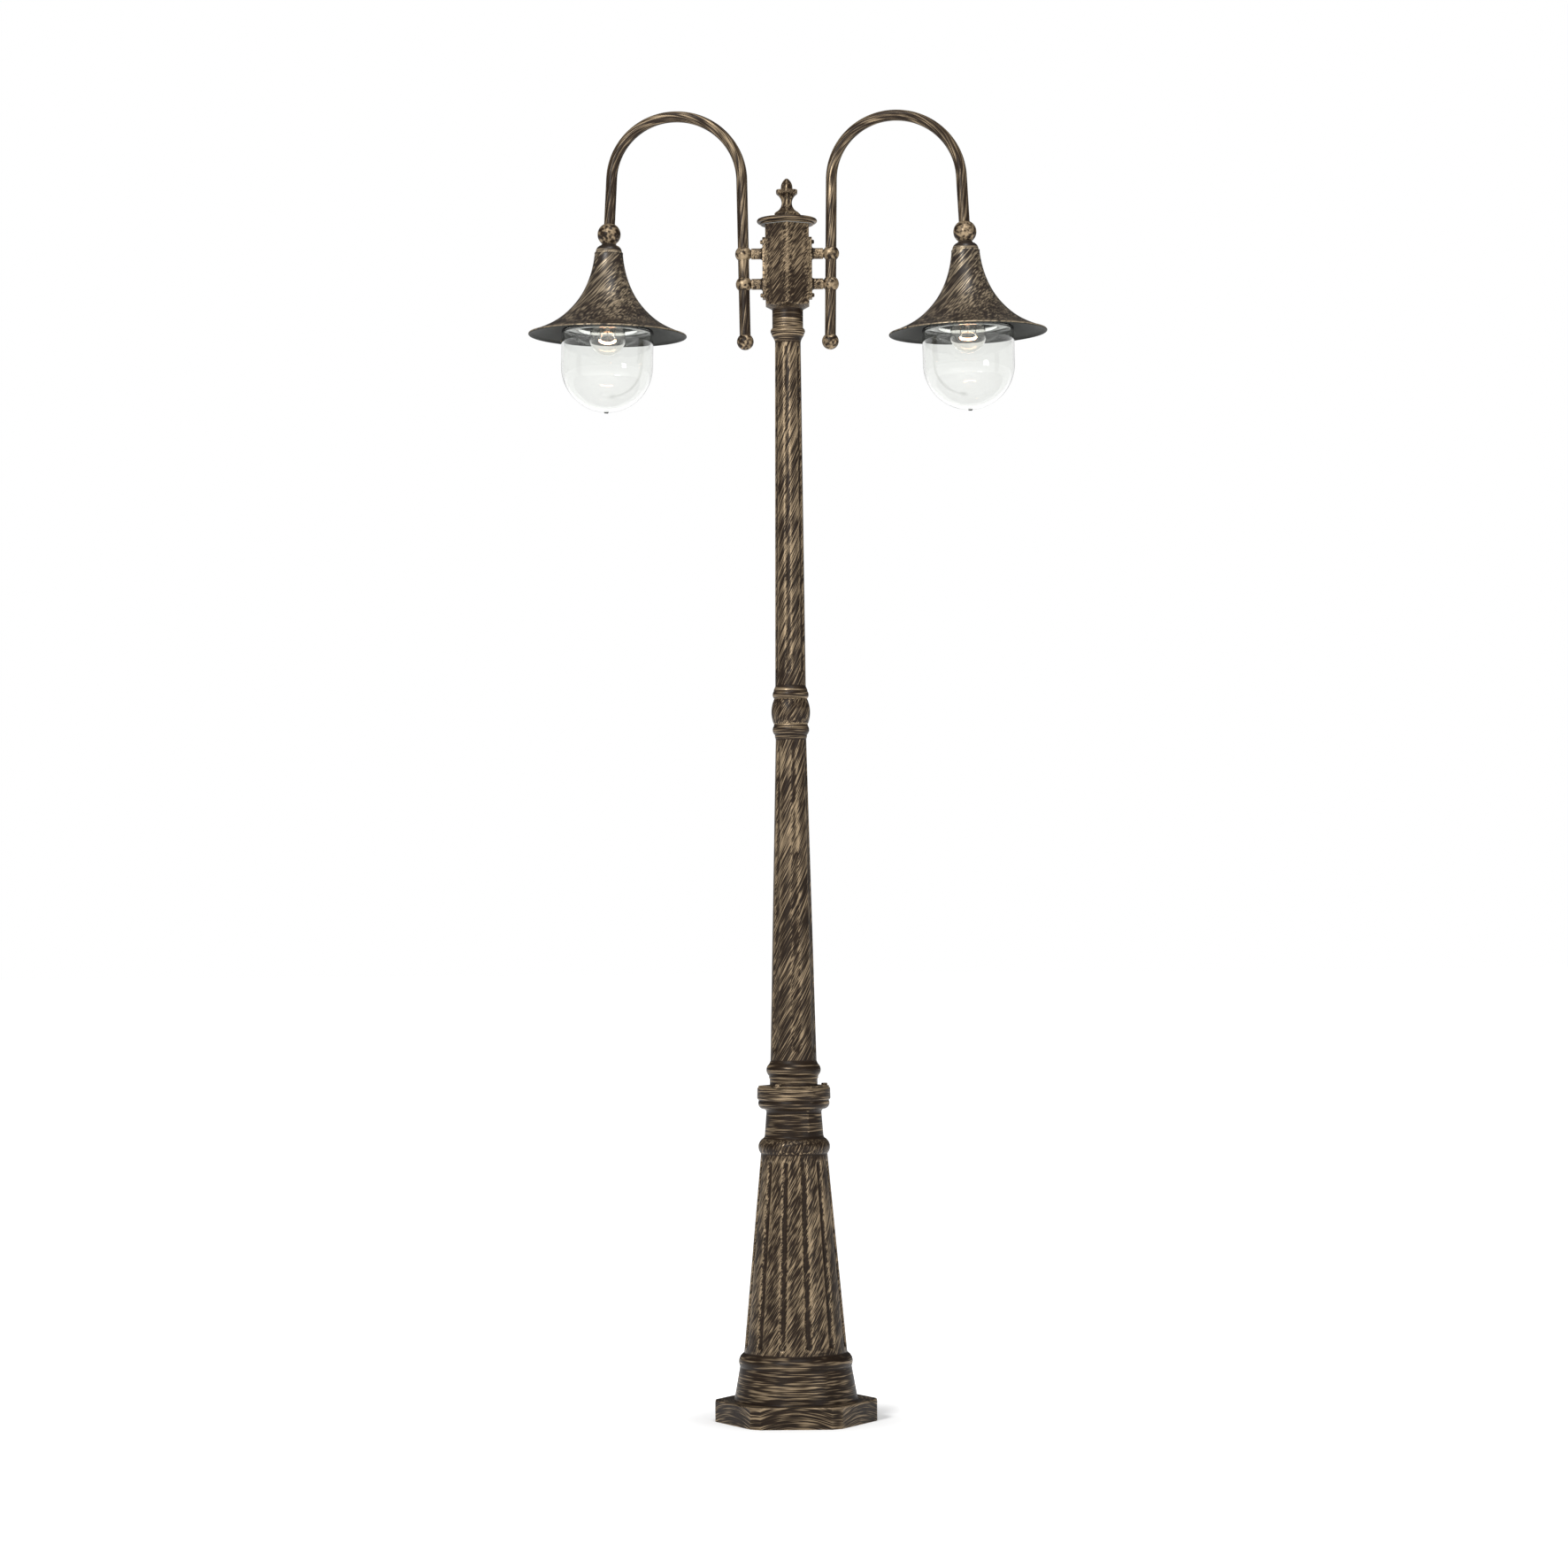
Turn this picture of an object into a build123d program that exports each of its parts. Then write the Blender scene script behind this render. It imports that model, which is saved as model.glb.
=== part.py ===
"""A garden lamp post with two hooked arms, each with a flared shade, a clear globe and a screw-in bulb.

Millimetres, +Z up, origin at the middle of the foot plate's underside. The arms lie along X, and the
left half is the right half turned half a turn about Z. Every piece is a separate solid in its own file.
"""

from build123d import *
from math import cos, radians, sin, tan
import os

# ---- levels up the post ----
FOOT_TOP = 35.0
SKIRT_TOP = 89.5
TAPER_FOOT = 111.5
TAPER_TOP = 434.5
NECK_TOP = 505.0
COLLAR_TOP = 542.3
FLANGE_TOP = 545.0
LOWER_TOP = 1110.0
COUPLING_FOOT = 1134.8
COUPLING_TOP = 1176.8
UPPER_FOOT = 1197.0
UPPER_TOP = 1762.0
CAPITAL_TOP = 1785.5
BOX_TOP = 1955.0
CAP_TOP = 1965.7
FINIAL_TOP = 2032.5

# ---- foot plate and fixings ----
FOOT_CORNER_R = 137.0
FOOT_CORNER_CUT = 10.6
ANCHOR_R = 116.0
ANCHOR_HOLE_R = 5.0
FLUTES_BELOW = 12
FLUTES_ABOVE = 6
COLLAR_BOLT_R = 50.0
M6_R = 3.0
M4_R = 2.0
CLEAR = 0.1

# ---- columns ----
LOWER_FOOT_R = 37.7
LOWER_HEAD_R = 24.95
UPPER_HEAD_R = 20.95
SLEEVE_R = 19.9
BORE_R = 20.0
SPIGOT_R = 19.0

# ---- head box ----
BOX_FLAT = 35.75
BOX_WALL = 5.0
NECK_R = 25.2
PLATE_THICK = 5.0
PLATE_WIDE = 34.0
PLATE_LOW = 1833.5
PLATE_HIGH = 1935.0
SOCKET_LEVELS = (1908.5, 1858.5)
PLATE_SCREW_LEVELS = (1928.0, 1840.0)
SET_SCREW_X = 50.0
SOCKET_END = 59.0

# ---- arm ----
TUBE_R = 9.0
TUBE_BORE_R = 7.0
ARM_FOOT = (69.8, 1764.0)
INNER_LEAN = 0.82
OUTER_LEAN = 3.0
ARM_CROWN_Z = 2136.0
ARM_OUTER_X = 282.13
BEND_R = 106.3
CLAMP_BALL_R = 13.5
END_BALL_R = 13.75
KNUCKLE_R = 19.0
KNUCKLE_X = 292.25
KNUCKLE_Z = 1943.0
WIRE_R = 1.75
TERMINAL_X = 9.0  # from the middle way of the connector block to each outer one
TERMINAL_TOP = 1886.0
LANTERN_LEAN = 1.25

# ---- lantern, in heights on its own axis before it leans ----
SHADE_WALL = 1.5
CROWN_TOP = 1913.3
SHADE_RIM_R = 128.0
SHADE_RIM_Z = 1777.3
GALLERY_WALL = 1.2
GALLERY_TOP = 1861.0
GALLERY_FOOT = 1797.0
GALLERY_SEAT = 1815.2
NIPPLE_R = 5.0
GLOBE_R = 75.5
GLOBE_WALL = 3.5
GLOBE_NECK_R = 52.0
GLOBE_SHOULDER = 1767.0
GLOBE_NECK_TOP = 1812.0
GLOBE_WAIST = 1725.0
GASKET_TOP = 1814.5
BULB_R = 30.0
BULB_MIDDLE = 1772.0
BULB_NECK = 1821.0
BULB_CAP_R = 13.1
BULB_CAP_TOP = 1843.0
BULB_TIP = 1847.0
HOLDER_FOOT = 1819.0
HOLDER_TOP = 1859.7
HOLDER_R = 20.0


def turned(face):
    return revolve(face, axis=Axis.Z)


def ring(outer, inner, low, high):
    """A plain tube or washer about Z."""
    body = Pos(0, 0, (low + high) / 2) * Cylinder(outer, high - low)
    if inner > 0:
        body -= Pos(0, 0, (low + high) / 2) * Cylinder(inner, high - low + 2)
    return body


def moulding(*stretches):
    """A turned solid whose outline is a chain of points. A pair of points after another is an arc: it
    passes through the first and ends on the second."""
    edges = []
    here = stretches[0]
    for step in stretches[1:]:
        if isinstance(step[0], tuple):
            edges.append(ThreePointArc(here, step[0], step[1]))
            here = step[1]
        else:
            edges.append(Line(here, step))
            here = step
    edges.append(Line(here, stretches[0]))
    return turned(Plane.XZ * make_face(Curve() + edges))


def capsule(foot, head, foot_r, head_r):
    """A tapered round bar with ball ends, from one point to another."""
    along = Vector(*head) - Vector(*foot)
    high = along.length
    outline = Curve() + [
        ThreePointArc((0, -foot_r), (foot_r * cos(radians(45)), -foot_r * sin(radians(45))), (foot_r, 0)),
        Line((foot_r, 0), (head_r, high)),
        ThreePointArc((head_r, high), (head_r * cos(radians(45)), high + head_r * sin(radians(45))), (0, high + head_r)),
        Line((0, high + head_r), (0, -foot_r)),
    ]
    return Plane(origin=foot, z_dir=along) * turned(Plane.XZ * make_face(outline))


def fluting(count, first_angle, foot, head):
    """The cutters for flutes up a taper. foot and head each give the level of the flute's end, the
    taper's radius there, half the flute's width and its depth."""
    ends = []
    for level, taper_r, half_wide, deep in (foot, head):
        cutter_r = (half_wide**2 + deep**2) / (2 * deep)
        ends.append((cutter_r, taper_r + cutter_r - deep, level))
    foot_r, foot_x, foot_z = ends[0]
    head_r, head_x, head_z = ends[1]
    along_foot = (foot_x, 0, foot_z + foot[2])
    along_head = (head_x, 0, head_z - head[2])
    cutter = capsule(along_foot, along_head, foot_r, head_r)
    return [Rot(0, 0, first_angle + turn * 360 / count) * cutter for turn in range(count)]


def slope(level, low, low_r, high, high_r):
    """The radius of a straight taper at a level."""
    return low_r + (high_r - low_r) * (level - low) / (high - low)


def hexagon_bar(flat, low, high):
    """A hexagonal bar about Z with flats facing +X and -X."""
    across = Rot(0, 0, 30) * RegularPolygon(flat, 6, major_radius=False)
    return Pos(0, 0, low) * extrude(across, high - low)


def tube_along(path, radius):
    return sweep(Plane(origin=path @ 0, z_dir=path % 0) * Circle(radius), path=path)


# ---------------------------------------------------------------- pedestal
def pedestal():
    """One hollow casting: foot plate, skirt, fluted taper, neck and collar disc."""
    across = RegularPolygon(FOOT_CORNER_R, 6)
    across = chamfer(across.vertices(), FOOT_CORNER_CUT)
    plate = extrude(across, FOOT_TOP)
    plate = fillet(plate.edges().group_by(Axis.Z)[-1], 2.5)
    body = moulding(
        (0, 20),
        (100.7, 20),
        (100.7, FOOT_TOP),
        (91.0, SKIRT_TOP),
        ((92.9, 97.5), (84.2, TAPER_FOOT)),
        (54.3, TAPER_TOP),
        ((58.3, 447.5), (49.6, 460.0)),
        (48.0, 463.0),
        (45.1, 500.0),
        ((45.9, 504.8), (48.2, NECK_TOP + 2.0)),
        ((58.2, 515.5), (57.3, 520.4)),
        (57.3, 521.6),
        (59.9, 524.0),
        (59.5, COLLAR_TOP - 1.5),
        (58.2, COLLAR_TOP),
        (0, COLLAR_TOP),
    )
    hollow = moulding(
        (0, -1),
        (90, -1),
        (90, 28),
        (84, 84),
        (76.5, 108),
        (47.0, 432),
        (39.0, 468),
        (38.0, 512),
        (0, 512),
    )
    flute_foot = (121.0, slope(121, TAPER_FOOT, 84.2, TAPER_TOP, 54.3), 7.3, 3.5)
    flute_head = (424.0, slope(424, TAPER_FOOT, 84.2, TAPER_TOP, 54.3), 5.5, 3.2)
    casting = plate + body - hollow - ring(22, 0, 500, 550)
    casting -= fluting(FLUTES_BELOW, -75, flute_foot, flute_head)
    casting -= PolarLocations(ANCHOR_R, 6) * (Pos(0, 0, FOOT_TOP / 2) * Cylinder(ANCHOR_HOLE_R, FOOT_TOP + 2))
    casting -= PolarLocations(COLLAR_BOLT_R, 3) * (Pos(0, 0, COLLAR_TOP - 7) * Cylinder(M6_R + CLEAR, 16))
    return casting


def flange_bolts():
    """Hexagon screws that hold the column's foot flange on the collar."""
    head_high = 4.0
    head = Pos(0, 0, FLANGE_TOP) * extrude(RegularPolygon(5.0, 6, major_radius=False), head_high)
    head &= Pos(0, 0, FLANGE_TOP + head_high / 2) * Cylinder(5.5, head_high)
    screw = head + ring(M6_R, 0, FLANGE_TOP - 15.0, FLANGE_TOP)
    return PolarLocations(COLLAR_BOLT_R, 3) * screw


# ---------------------------------------------------------------- columns
def column_lower():
    """Tapered fluted casting with a hexagonal foot flange and turned foot mouldings."""
    outside = moulding(
        (0, COLLAR_TOP),
        (39.0, COLLAR_TOP),
        (39.0, 555.5),
        (40.2, 557.5),
        (40.2, 561.0),
        ((44.4, 571.0), (39.8, 580.5)),
        (LOWER_FOOT_R, 585.5),
        (LOWER_HEAD_R, LOWER_TOP),
        (26.2, 1114.5),
        (26.2, 1117.4),
        ((29.9, 1125.5), (27.8, 1132.5)),
        (27.7, COUPLING_FOOT),
        (0, COUPLING_FOOT),
    )
    flange = Pos(0, 0, COLLAR_TOP) * extrude(RegularPolygon(58.2, 6), FLANGE_TOP - COLLAR_TOP)
    flange &= ring(57.6, 0, COLLAR_TOP, FLANGE_TOP)
    inside = moulding((0, 500), (33, 500), (33, 560), (BORE_R, 1060), (BORE_R, 1200), (0, 1200))
    flute_foot = (600.0, slope(600, 585.5, LOWER_FOOT_R, LOWER_TOP, LOWER_HEAD_R), 10.0, 1.9)
    flute_head = (1097.0, slope(1097, 585.5, LOWER_FOOT_R, LOWER_TOP, LOWER_HEAD_R), 4.6, 1.3)
    casting = outside + flange - inside
    casting -= fluting(FLUTES_ABOVE, -82, flute_foot, flute_head)
    casting -= PolarLocations(COLLAR_BOLT_R, 3) * (Pos(0, 0, COLLAR_TOP) * Cylinder(M6_R + CLEAR, 20))
    return casting


def coupling():
    """Barrel knop between the two columns."""
    outside = moulding(
        (BORE_R, COUPLING_FOOT),
        (27.7, COUPLING_FOOT),
        ((31.6, 1156.0), (27.1, COUPLING_TOP - 0.6)),
        (26.6, COUPLING_TOP),
        (BORE_R, COUPLING_TOP),
    )
    return outside


def joint_sleeve():
    """Spigot sleeve that lines up both columns inside the knop."""
    return ring(SLEEVE_R, 16.0, 1062.0, 1248.0)


def column_upper():
    """Tapered fluted casting with a foot bead, a flared capital and a spigot for the head."""
    outside = moulding(
        (0, COUPLING_TOP),
        (27.2, COUPLING_TOP),
        ((29.5, 1182.5), (27.7, 1189.0)),
        (27.5, 1191.5),
        (LOWER_HEAD_R, UPPER_FOOT),
        (UPPER_HEAD_R, UPPER_TOP),
        ((22.6, 1767.5), (26.2, 1773.0)),
        (26.5, 1775.8),
        ((28.3, 1781.0), (25.4, CAPITAL_TOP)),
        (SPIGOT_R, CAPITAL_TOP),
        (SPIGOT_R, 1812.0),
        (0, 1812.0),
    )
    inside = moulding((0, 1170), (BORE_R, 1170), (BORE_R, 1250), (16.5, 1300), (14.5, 1815), (0, 1815))
    flute_foot = (1219.0, slope(1219, UPPER_FOOT, LOWER_HEAD_R, UPPER_TOP, UPPER_HEAD_R), 5.4, 1.4)
    flute_head = (1755.0, slope(1755, UPPER_FOOT, LOWER_HEAD_R, UPPER_TOP, UPPER_HEAD_R), 4.8, 1.3)
    return outside - inside - fluting(FLUTES_ABOVE, -96, flute_foot, flute_head)


# ---------------------------------------------------------------- head
def cap_screw_places():
    return Locations((19.5, -22.0), (-19.5, 22.0))


def head_box():
    """Hexagonal junction box cast with a round neck, a vertex to the front."""
    outline = moulding(
        (0, CAPITAL_TOP),
        (NECK_R, CAPITAL_TOP),
        (NECK_R, 1815.0),
        (26.0, 1816.5),
        (42.0, 1825.0),
        (42.0, BOX_TOP),
        (0, BOX_TOP),
    )
    box = outline & hexagon_bar(BOX_FLAT, CAPITAL_TOP, BOX_TOP)
    hollow = hexagon_bar(BOX_FLAT - BOX_WALL, 1828.0, BOX_TOP)
    bosses = cap_screw_places() * (Pos(0, 0, BOX_TOP - 12) * Cylinder(4.5, 24))
    box = box - hollow + (Part() + bosses & hexagon_bar(BOX_FLAT, 1828.0, BOX_TOP))
    box -= cap_screw_places() * (Pos(0, 0, BOX_TOP - 9) * Cylinder(M4_R + CLEAR, 20))
    box -= ring(SPIGOT_R + CLEAR, 0, CAPITAL_TOP - 1, 1816.0)
    box -= ring(12, 0, 1810, 1830)
    for level in PLATE_SCREW_LEVELS:
        box -= Pos(0, 0, level) * Rot(0, 90, 0) * Cylinder(M4_R + CLEAR, 100)
    box -= Pos(0, 0, SOCKET_LEVELS[0]) * Rot(0, 90, 0) * Cylinder(5.0, 100)
    return box


def cap_gasket():
    """Flat seal between the box and its lid."""
    seal = hexagon_bar(BOX_FLAT, BOX_TOP, BOX_TOP + 1) - hexagon_bar(BOX_FLAT - BOX_WALL, BOX_TOP - 1, BOX_TOP + 2)
    seal += cap_screw_places() * (Pos(0, 0, BOX_TOP + 0.5) * Cylinder(4.5, 1))
    seal &= hexagon_bar(BOX_FLAT, BOX_TOP, BOX_TOP + 1)
    return seal - cap_screw_places() * (Pos(0, 0, BOX_TOP) * Cylinder(M4_R + CLEAR, 10))


def head_cap():
    """Stepped round lid."""
    lid = moulding(
        (3.1, BOX_TOP + 1),
        (43.4, BOX_TOP + 1),
        (44.0, BOX_TOP + 1.6),
        (44.0, BOX_TOP + 3.7),
        (47.0, BOX_TOP + 3.7),
        ((49.5, 1962.2), (47.0, CAP_TOP)),
        (3.1, CAP_TOP),
    )
    return lid - cap_screw_places() * (Pos(0, 0, CAP_TOP - 5) * Cylinder(M4_R + CLEAR, 30))


def cap_screws():
    """Two cheese-head screws through the lid."""
    head = ring(3.1, 0, CAP_TOP, CAP_TOP + 5.2)
    head = fillet(head.edges().group_by(Axis.Z)[-1], 1.2)
    return cap_screw_places() * (head + ring(M4_R, 0, BOX_TOP - 12, CAP_TOP))


def finial():
    """Six-sided bud: the meeting of three bands that share one outline."""
    half = Curve() + [
        Line((0, CAP_TOP), (20.2, CAP_TOP)),
        Line((20.2, CAP_TOP), (20.2, 1973.8)),
        Line((20.2, 1973.8), (18.2, 1976.0)),
        ThreePointArc((18.2, 1976.0), (8.4, 1992.5), (16.2, 2007.0)),
        Line((16.2, 2007.0), (17.5, 2009.0)),
        Line((17.5, 2009.0), (17.5, 2012.0)),
        Line((17.5, 2012.0), (16.2, 2013.4)),
        Line((16.2, 2013.4), (9.5, 2014.4)),
        ThreePointArc((9.5, 2014.4), (8.2, 2023.5), (1.5, FINIAL_TOP)),
        Line((1.5, FINIAL_TOP), (0, FINIAL_TOP)),
        Line((0, FINIAL_TOP), (0, CAP_TOP)),
    ]
    side = make_face(half)
    band = extrude(Plane.XZ * (side + mirror(side, Plane.YZ)), 40, both=True)
    bud = band & Rot(0, 0, 60) * band & Rot(0, 0, 120) * band
    return bud - ring(M6_R + CLEAR, 0, CAP_TOP - 1, 1994)


def finial_stud():
    """Threaded stud with a nut under the lid."""
    nut = Pos(0, 0, 1949.9) * extrude(RegularPolygon(5.0, 6, major_radius=False), 5)
    return ring(M6_R, 0, 1946.0, 1990.0) + nut + ring(8.0, 0, 1954.9, BOX_TOP + 1)


# ---------------------------------------------------------------- wiring in the post
def terminal_block():
    """Three-way connector block standing on the box floor."""
    middle = TERMINAL_TOP - 10.0
    block = Pos(0, 0, middle) * Box(30, 16, 20)
    block -= [Pos(x, 0, middle) * Rot(90, 0, 0) * Cylinder(2.2, 20) for x in (-TERMINAL_X, 0, TERMINAL_X)]
    legs = [Pos(x, 0, 1847.0) * Box(3, 12, 38) for x in (-13, 13)]
    return block + legs


def riser_cable():
    """Round cable down the middle of both columns."""
    return ring(4.0, 0, 400.0, TERMINAL_TOP - 20.0)


def inlet_connector():
    """In-line connector that hangs on the riser inside the pedestal."""
    body = moulding(
        (0, 300), (9, 300), (11, 304), (11, 322), (13, 322), (13, 372), (11, 372), (11, 390), (7, 400), (0, 400)
    )
    return body


# ---------------------------------------------------------------- arm pieces, right side
def inner_leg_x(level):
    return ARM_FOOT[0] + (level - ARM_FOOT[1]) * tan(radians(INNER_LEAN))


def arm_path(foot_level):
    """Centre line of the arm: up the inner leg, over the hook and down to the knuckle."""
    corners = [
        (inner_leg_x(foot_level), 0, foot_level),
        (inner_leg_x(ARM_CROWN_Z), 0, ARM_CROWN_Z),
        (ARM_OUTER_X, 0, ARM_CROWN_Z),
        (KNUCKLE_X, 0, KNUCKLE_Z),
    ]
    return FilletPolyline(*corners, radius=BEND_R)


def arm():
    """Bent tube with a hole for the lead where the upper socket meets it."""
    path = arm_path(ARM_FOOT[1])
    tube = tube_along(path, TUBE_R) - tube_along(path, TUBE_BORE_R)
    top = SOCKET_LEVELS[0]
    return tube - Pos(inner_leg_x(top) - 8, 0, top) * Rot(0, 90, 0) * Cylinder(4.5, 16)


def bracket_plate():
    """Face plate with two socket tubes."""
    face = Rot(0, 90, 0) * RectangleRounded(PLATE_HIGH - PLATE_LOW, PLATE_WIDE, 9)
    plate = Pos(BOX_FLAT, 0, (PLATE_LOW + PLATE_HIGH) / 2) * extrude(face, PLATE_THICK)
    plate = chamfer(plate.faces().sort_by(Axis.X)[-1].edges(), 1.2)
    for level in SOCKET_LEVELS:
        plate += Pos((BOX_FLAT + SOCKET_END) / 2, 0, level) * Rot(0, 90, 0) * Cylinder(TUBE_R, SOCKET_END - BOX_FLAT)
    for level in SOCKET_LEVELS:
        plate -= Pos(50, 0, level) * Rot(0, 90, 0) * Cylinder(TUBE_BORE_R, 40)
        plate -= Pos(SET_SCREW_X, -8, level) * Rot(90, 0, 0) * Cylinder(M4_R + CLEAR, 8)
    for level in PLATE_SCREW_LEVELS:
        plate -= Pos(BOX_FLAT, 0, level) * Rot(0, 90, 0) * Cylinder(M4_R + CLEAR, 20)
    return plate


def bracket_screws():
    """Pan-head screws through the face plate."""
    shank = Rot(0, 90, 0) * Cylinder(M4_R, 12)
    head = Rot(0, 90, 0) * Cylinder(3.5, 3.7)
    head = fillet(head.edges().group_by(Axis.X)[-1], 1.4)
    face = BOX_FLAT + PLATE_THICK
    screw = Pos(face - 6, 0, 0) * shank + Pos(face + 1.85, 0, 0) * head
    return [Pos(0, 0, level) * screw for level in PLATE_SCREW_LEVELS]


def set_screws():
    """Round-head screws that lock each clamp's stem in its socket tube."""
    head = Pos(0, -TUBE_R - 1.3, 0) * Rot(90, 0, 0) * Cylinder(4.0, 3.4)
    head = fillet(head.edges().group_by(Axis.Y)[0], 1.2)
    screw = head + Pos(0, -8.2, 0) * Rot(90, 0, 0) * Cylinder(M4_R, 2.2)
    screw -= Rot(0, 90, 0) * Cylinder(TUBE_R + CLEAR / 2, 20) & Pos(0, -15, 0) * Box(8, 15, 8) - Pos(
        0, -8, 0
    ) * Rot(90, 0, 0) * Cylinder(M4_R, 8)
    return [Pos(SET_SCREW_X, 0, level) * screw for level in SOCKET_LEVELS]


def clamp(level):
    """Ball with a stem for the socket tube and a bore for the arm's inner leg."""
    middle = inner_leg_x(level)
    ball = Pos(middle, 0, level) * Sphere(CLAMP_BALL_R)
    stem = Pos((43 + middle) / 2, 0, level) * Rot(0, 90, 0) * Cylinder(TUBE_BORE_R - CLEAR, middle - 43)
    wire_way = Pos((43 + middle) / 2, 0, level) * Rot(0, 90, 0) * Cylinder(4.5, middle - 43 + 2)
    leg = Pos(middle, 0, level) * Rot(0, INNER_LEAN, 0) * Cylinder(TUBE_R + CLEAR / 2, 40)
    return ball + stem - wire_way - leg


def end_ball():
    """Ball with a blind socket for the foot of the inner leg."""
    x, z = ARM_FOOT
    socket = Pos(x, 0, z) * Rot(0, INNER_LEAN, 0) * Pos(0, 0, 10) * Cylinder(TUBE_R + CLEAR / 2, 20)
    return Pos(x, 0, z) * Sphere(END_BALL_R) - socket


# ---------------------------------------------------------------- lantern, built plumb on the Z axis
def knuckle():
    """Ball that joins the arm's outer end to the nipple, before it leans."""
    ball = Pos(0, 0, KNUCKLE_Z) * Sphere(KNUCKLE_R)
    tube_way = Pos(0, 0, KNUCKLE_Z) * Rot(0, LANTERN_LEAN - OUTER_LEAN, 0) * Pos(0, 0, 15) * Cylinder(
        TUBE_R + CLEAR / 2, 30.0
    )
    return ball - tube_way - ring(NIPPLE_R + CLEAR / 2, 0, KNUCKLE_Z - 30, KNUCKLE_Z - 3) - ring(
        3.0, 0, KNUCKLE_Z - 10, KNUCKLE_Z + 10
    )


def nipple():
    """Threaded tube through the cap, the shade and the gallery."""
    return ring(NIPPLE_R, 3.0, HOLDER_TOP - 5.7, KNUCKLE_Z - 3)


def shade_cap():
    """Small dome on the crown of the shade, with a seat for the ball."""
    dome = moulding(
        (NIPPLE_R + CLEAR, CROWN_TOP),
        (21.4, CROWN_TOP),
        ((18.2, 1921.3), (11.0, 1926.3)),
        (NIPPLE_R + CLEAR, 1926.3),
    )
    return dome - Pos(0, 0, KNUCKLE_Z) * Sphere(KNUCKLE_R + CLEAR / 2)


def shade_line():
    """Middle line of the shade's wall, from the crown's edge to the rim."""
    return Spline(
        (22.6, 1908.5),
        (28.8, 1876.0),
        (44.2, 1840.3),
        (76.6, 1803.7),
        (SHADE_RIM_R - 0.6, SHADE_RIM_Z),
        tangents=[(0.1, -1), (1, -0.36)],
    )


def shade():
    """Spun trumpet shade with a closed crown and a rolled lip."""
    crown_z = CROWN_TOP - SHADE_WALL / 2
    line = shade_line()
    shoulder = FilletPolyline((NIPPLE_R + CLEAR, crown_z), (22.3, crown_z), (22.6, 1908.5), radius=2.2)
    wall = trace(Curve() + [shoulder, line], SHADE_WALL)
    lip = Pos(SHADE_RIM_R, SHADE_RIM_Z - 0.9) * Circle(2.0)
    return turned(Plane.XZ * (wall + lip))


def gallery():
    """Spun fitter: a cone that hangs from the nipple and takes the globe's neck."""
    seat_r = GLOBE_NECK_R + 0.6 + GALLERY_WALL / 2
    line = Polyline(
        (NIPPLE_R + CLEAR, GALLERY_TOP),
        (22, GALLERY_TOP),
        (46, GALLERY_SEAT),
        (seat_r, GALLERY_SEAT),
        (seat_r, GALLERY_FOOT),
    )
    return turned(Plane.XZ * trace(line, GALLERY_WALL))


def locknuts():
    """Hexagon nuts under the shade's crown and above the gallery."""
    nut = extrude(RegularPolygon(8.5, 6, major_radius=False), 4)
    nut -= Cylinder(NIPPLE_R + CLEAR, 20)
    return [Pos(0, 0, CROWN_TOP - SHADE_WALL - 4) * nut, Pos(0, 0, GALLERY_TOP + GALLERY_WALL / 2) * nut]


def lampholder():
    """Glazed porcelain holder with a smooth bore for the thread of the bulb's cap."""
    body = moulding(
        (NIPPLE_R + CLEAR, HOLDER_TOP),
        (16.5, HOLDER_TOP),
        (HOLDER_R, HOLDER_TOP - 4),
        (HOLDER_R, HOLDER_FOOT + 2),
        (HOLDER_R - 1, HOLDER_FOOT),
        (14.6, HOLDER_FOOT),
        (14.6, 1822.0),
        (13.5, 1823.0),
        (13.5, 1848.5),
        (3.1, 1848.5),
        (3.1, 1853.9),
        (NIPPLE_R + CLEAR, 1853.9),
    )
    return body


def contact():
    """Sprung centre contact of the holder."""
    return ring(2.9, 0, BULB_TIP, 1853.5)


def gasket():
    """Rubber ring on the rim of the globe's neck."""
    return ring(GLOBE_NECK_R, 47.0, GLOBE_NECK_TOP, GASKET_TOP)


def round_bottom(radius, middle, start_angle):
    """An arc about the axis, from an angle above level down to the lowest point."""
    start = (radius * cos(radians(start_angle)), middle + radius * sin(radians(start_angle)))
    half = radians((start_angle - 90) / 2)
    return ThreePointArc(start, (radius * cos(half), middle + radius * sin(half)), (0, middle - radius))


def globe():
    """Clear blown jar: neck, shoulder, straight wall, round bottom and a small pip."""
    outlines = []
    for inset, corner in ((0, 5.0), (GLOBE_WALL, 4.0)):
        neck_r = GLOBE_NECK_R - inset
        wall_r = GLOBE_R - inset
        shoulder = GLOBE_SHOULDER - inset
        upper = FilletPolyline(
            (neck_r, GLOBE_NECK_TOP), (neck_r, shoulder), (wall_r, shoulder), (wall_r, GLOBE_WAIST), radius=corner
        )
        outlines += [upper, round_bottom(wall_r, GLOBE_WAIST, 0)]
    rim = Line((GLOBE_NECK_R - GLOBE_WALL, GLOBE_NECK_TOP), (GLOBE_NECK_R, GLOBE_NECK_TOP))
    middle = Line((0, GLOBE_WAIST - GLOBE_R), (0, GLOBE_WAIST - GLOBE_R + GLOBE_WALL))
    lowest = GLOBE_WAIST - GLOBE_R
    pip = moulding((0, lowest - 2), (2.6, lowest - 2), (3.7, lowest - 0.6), (3.7, lowest + 1), (0, lowest + 1))
    return turned(Plane.XZ * make_face(Curve() + [*outlines, rim, middle])) + pip


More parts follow.
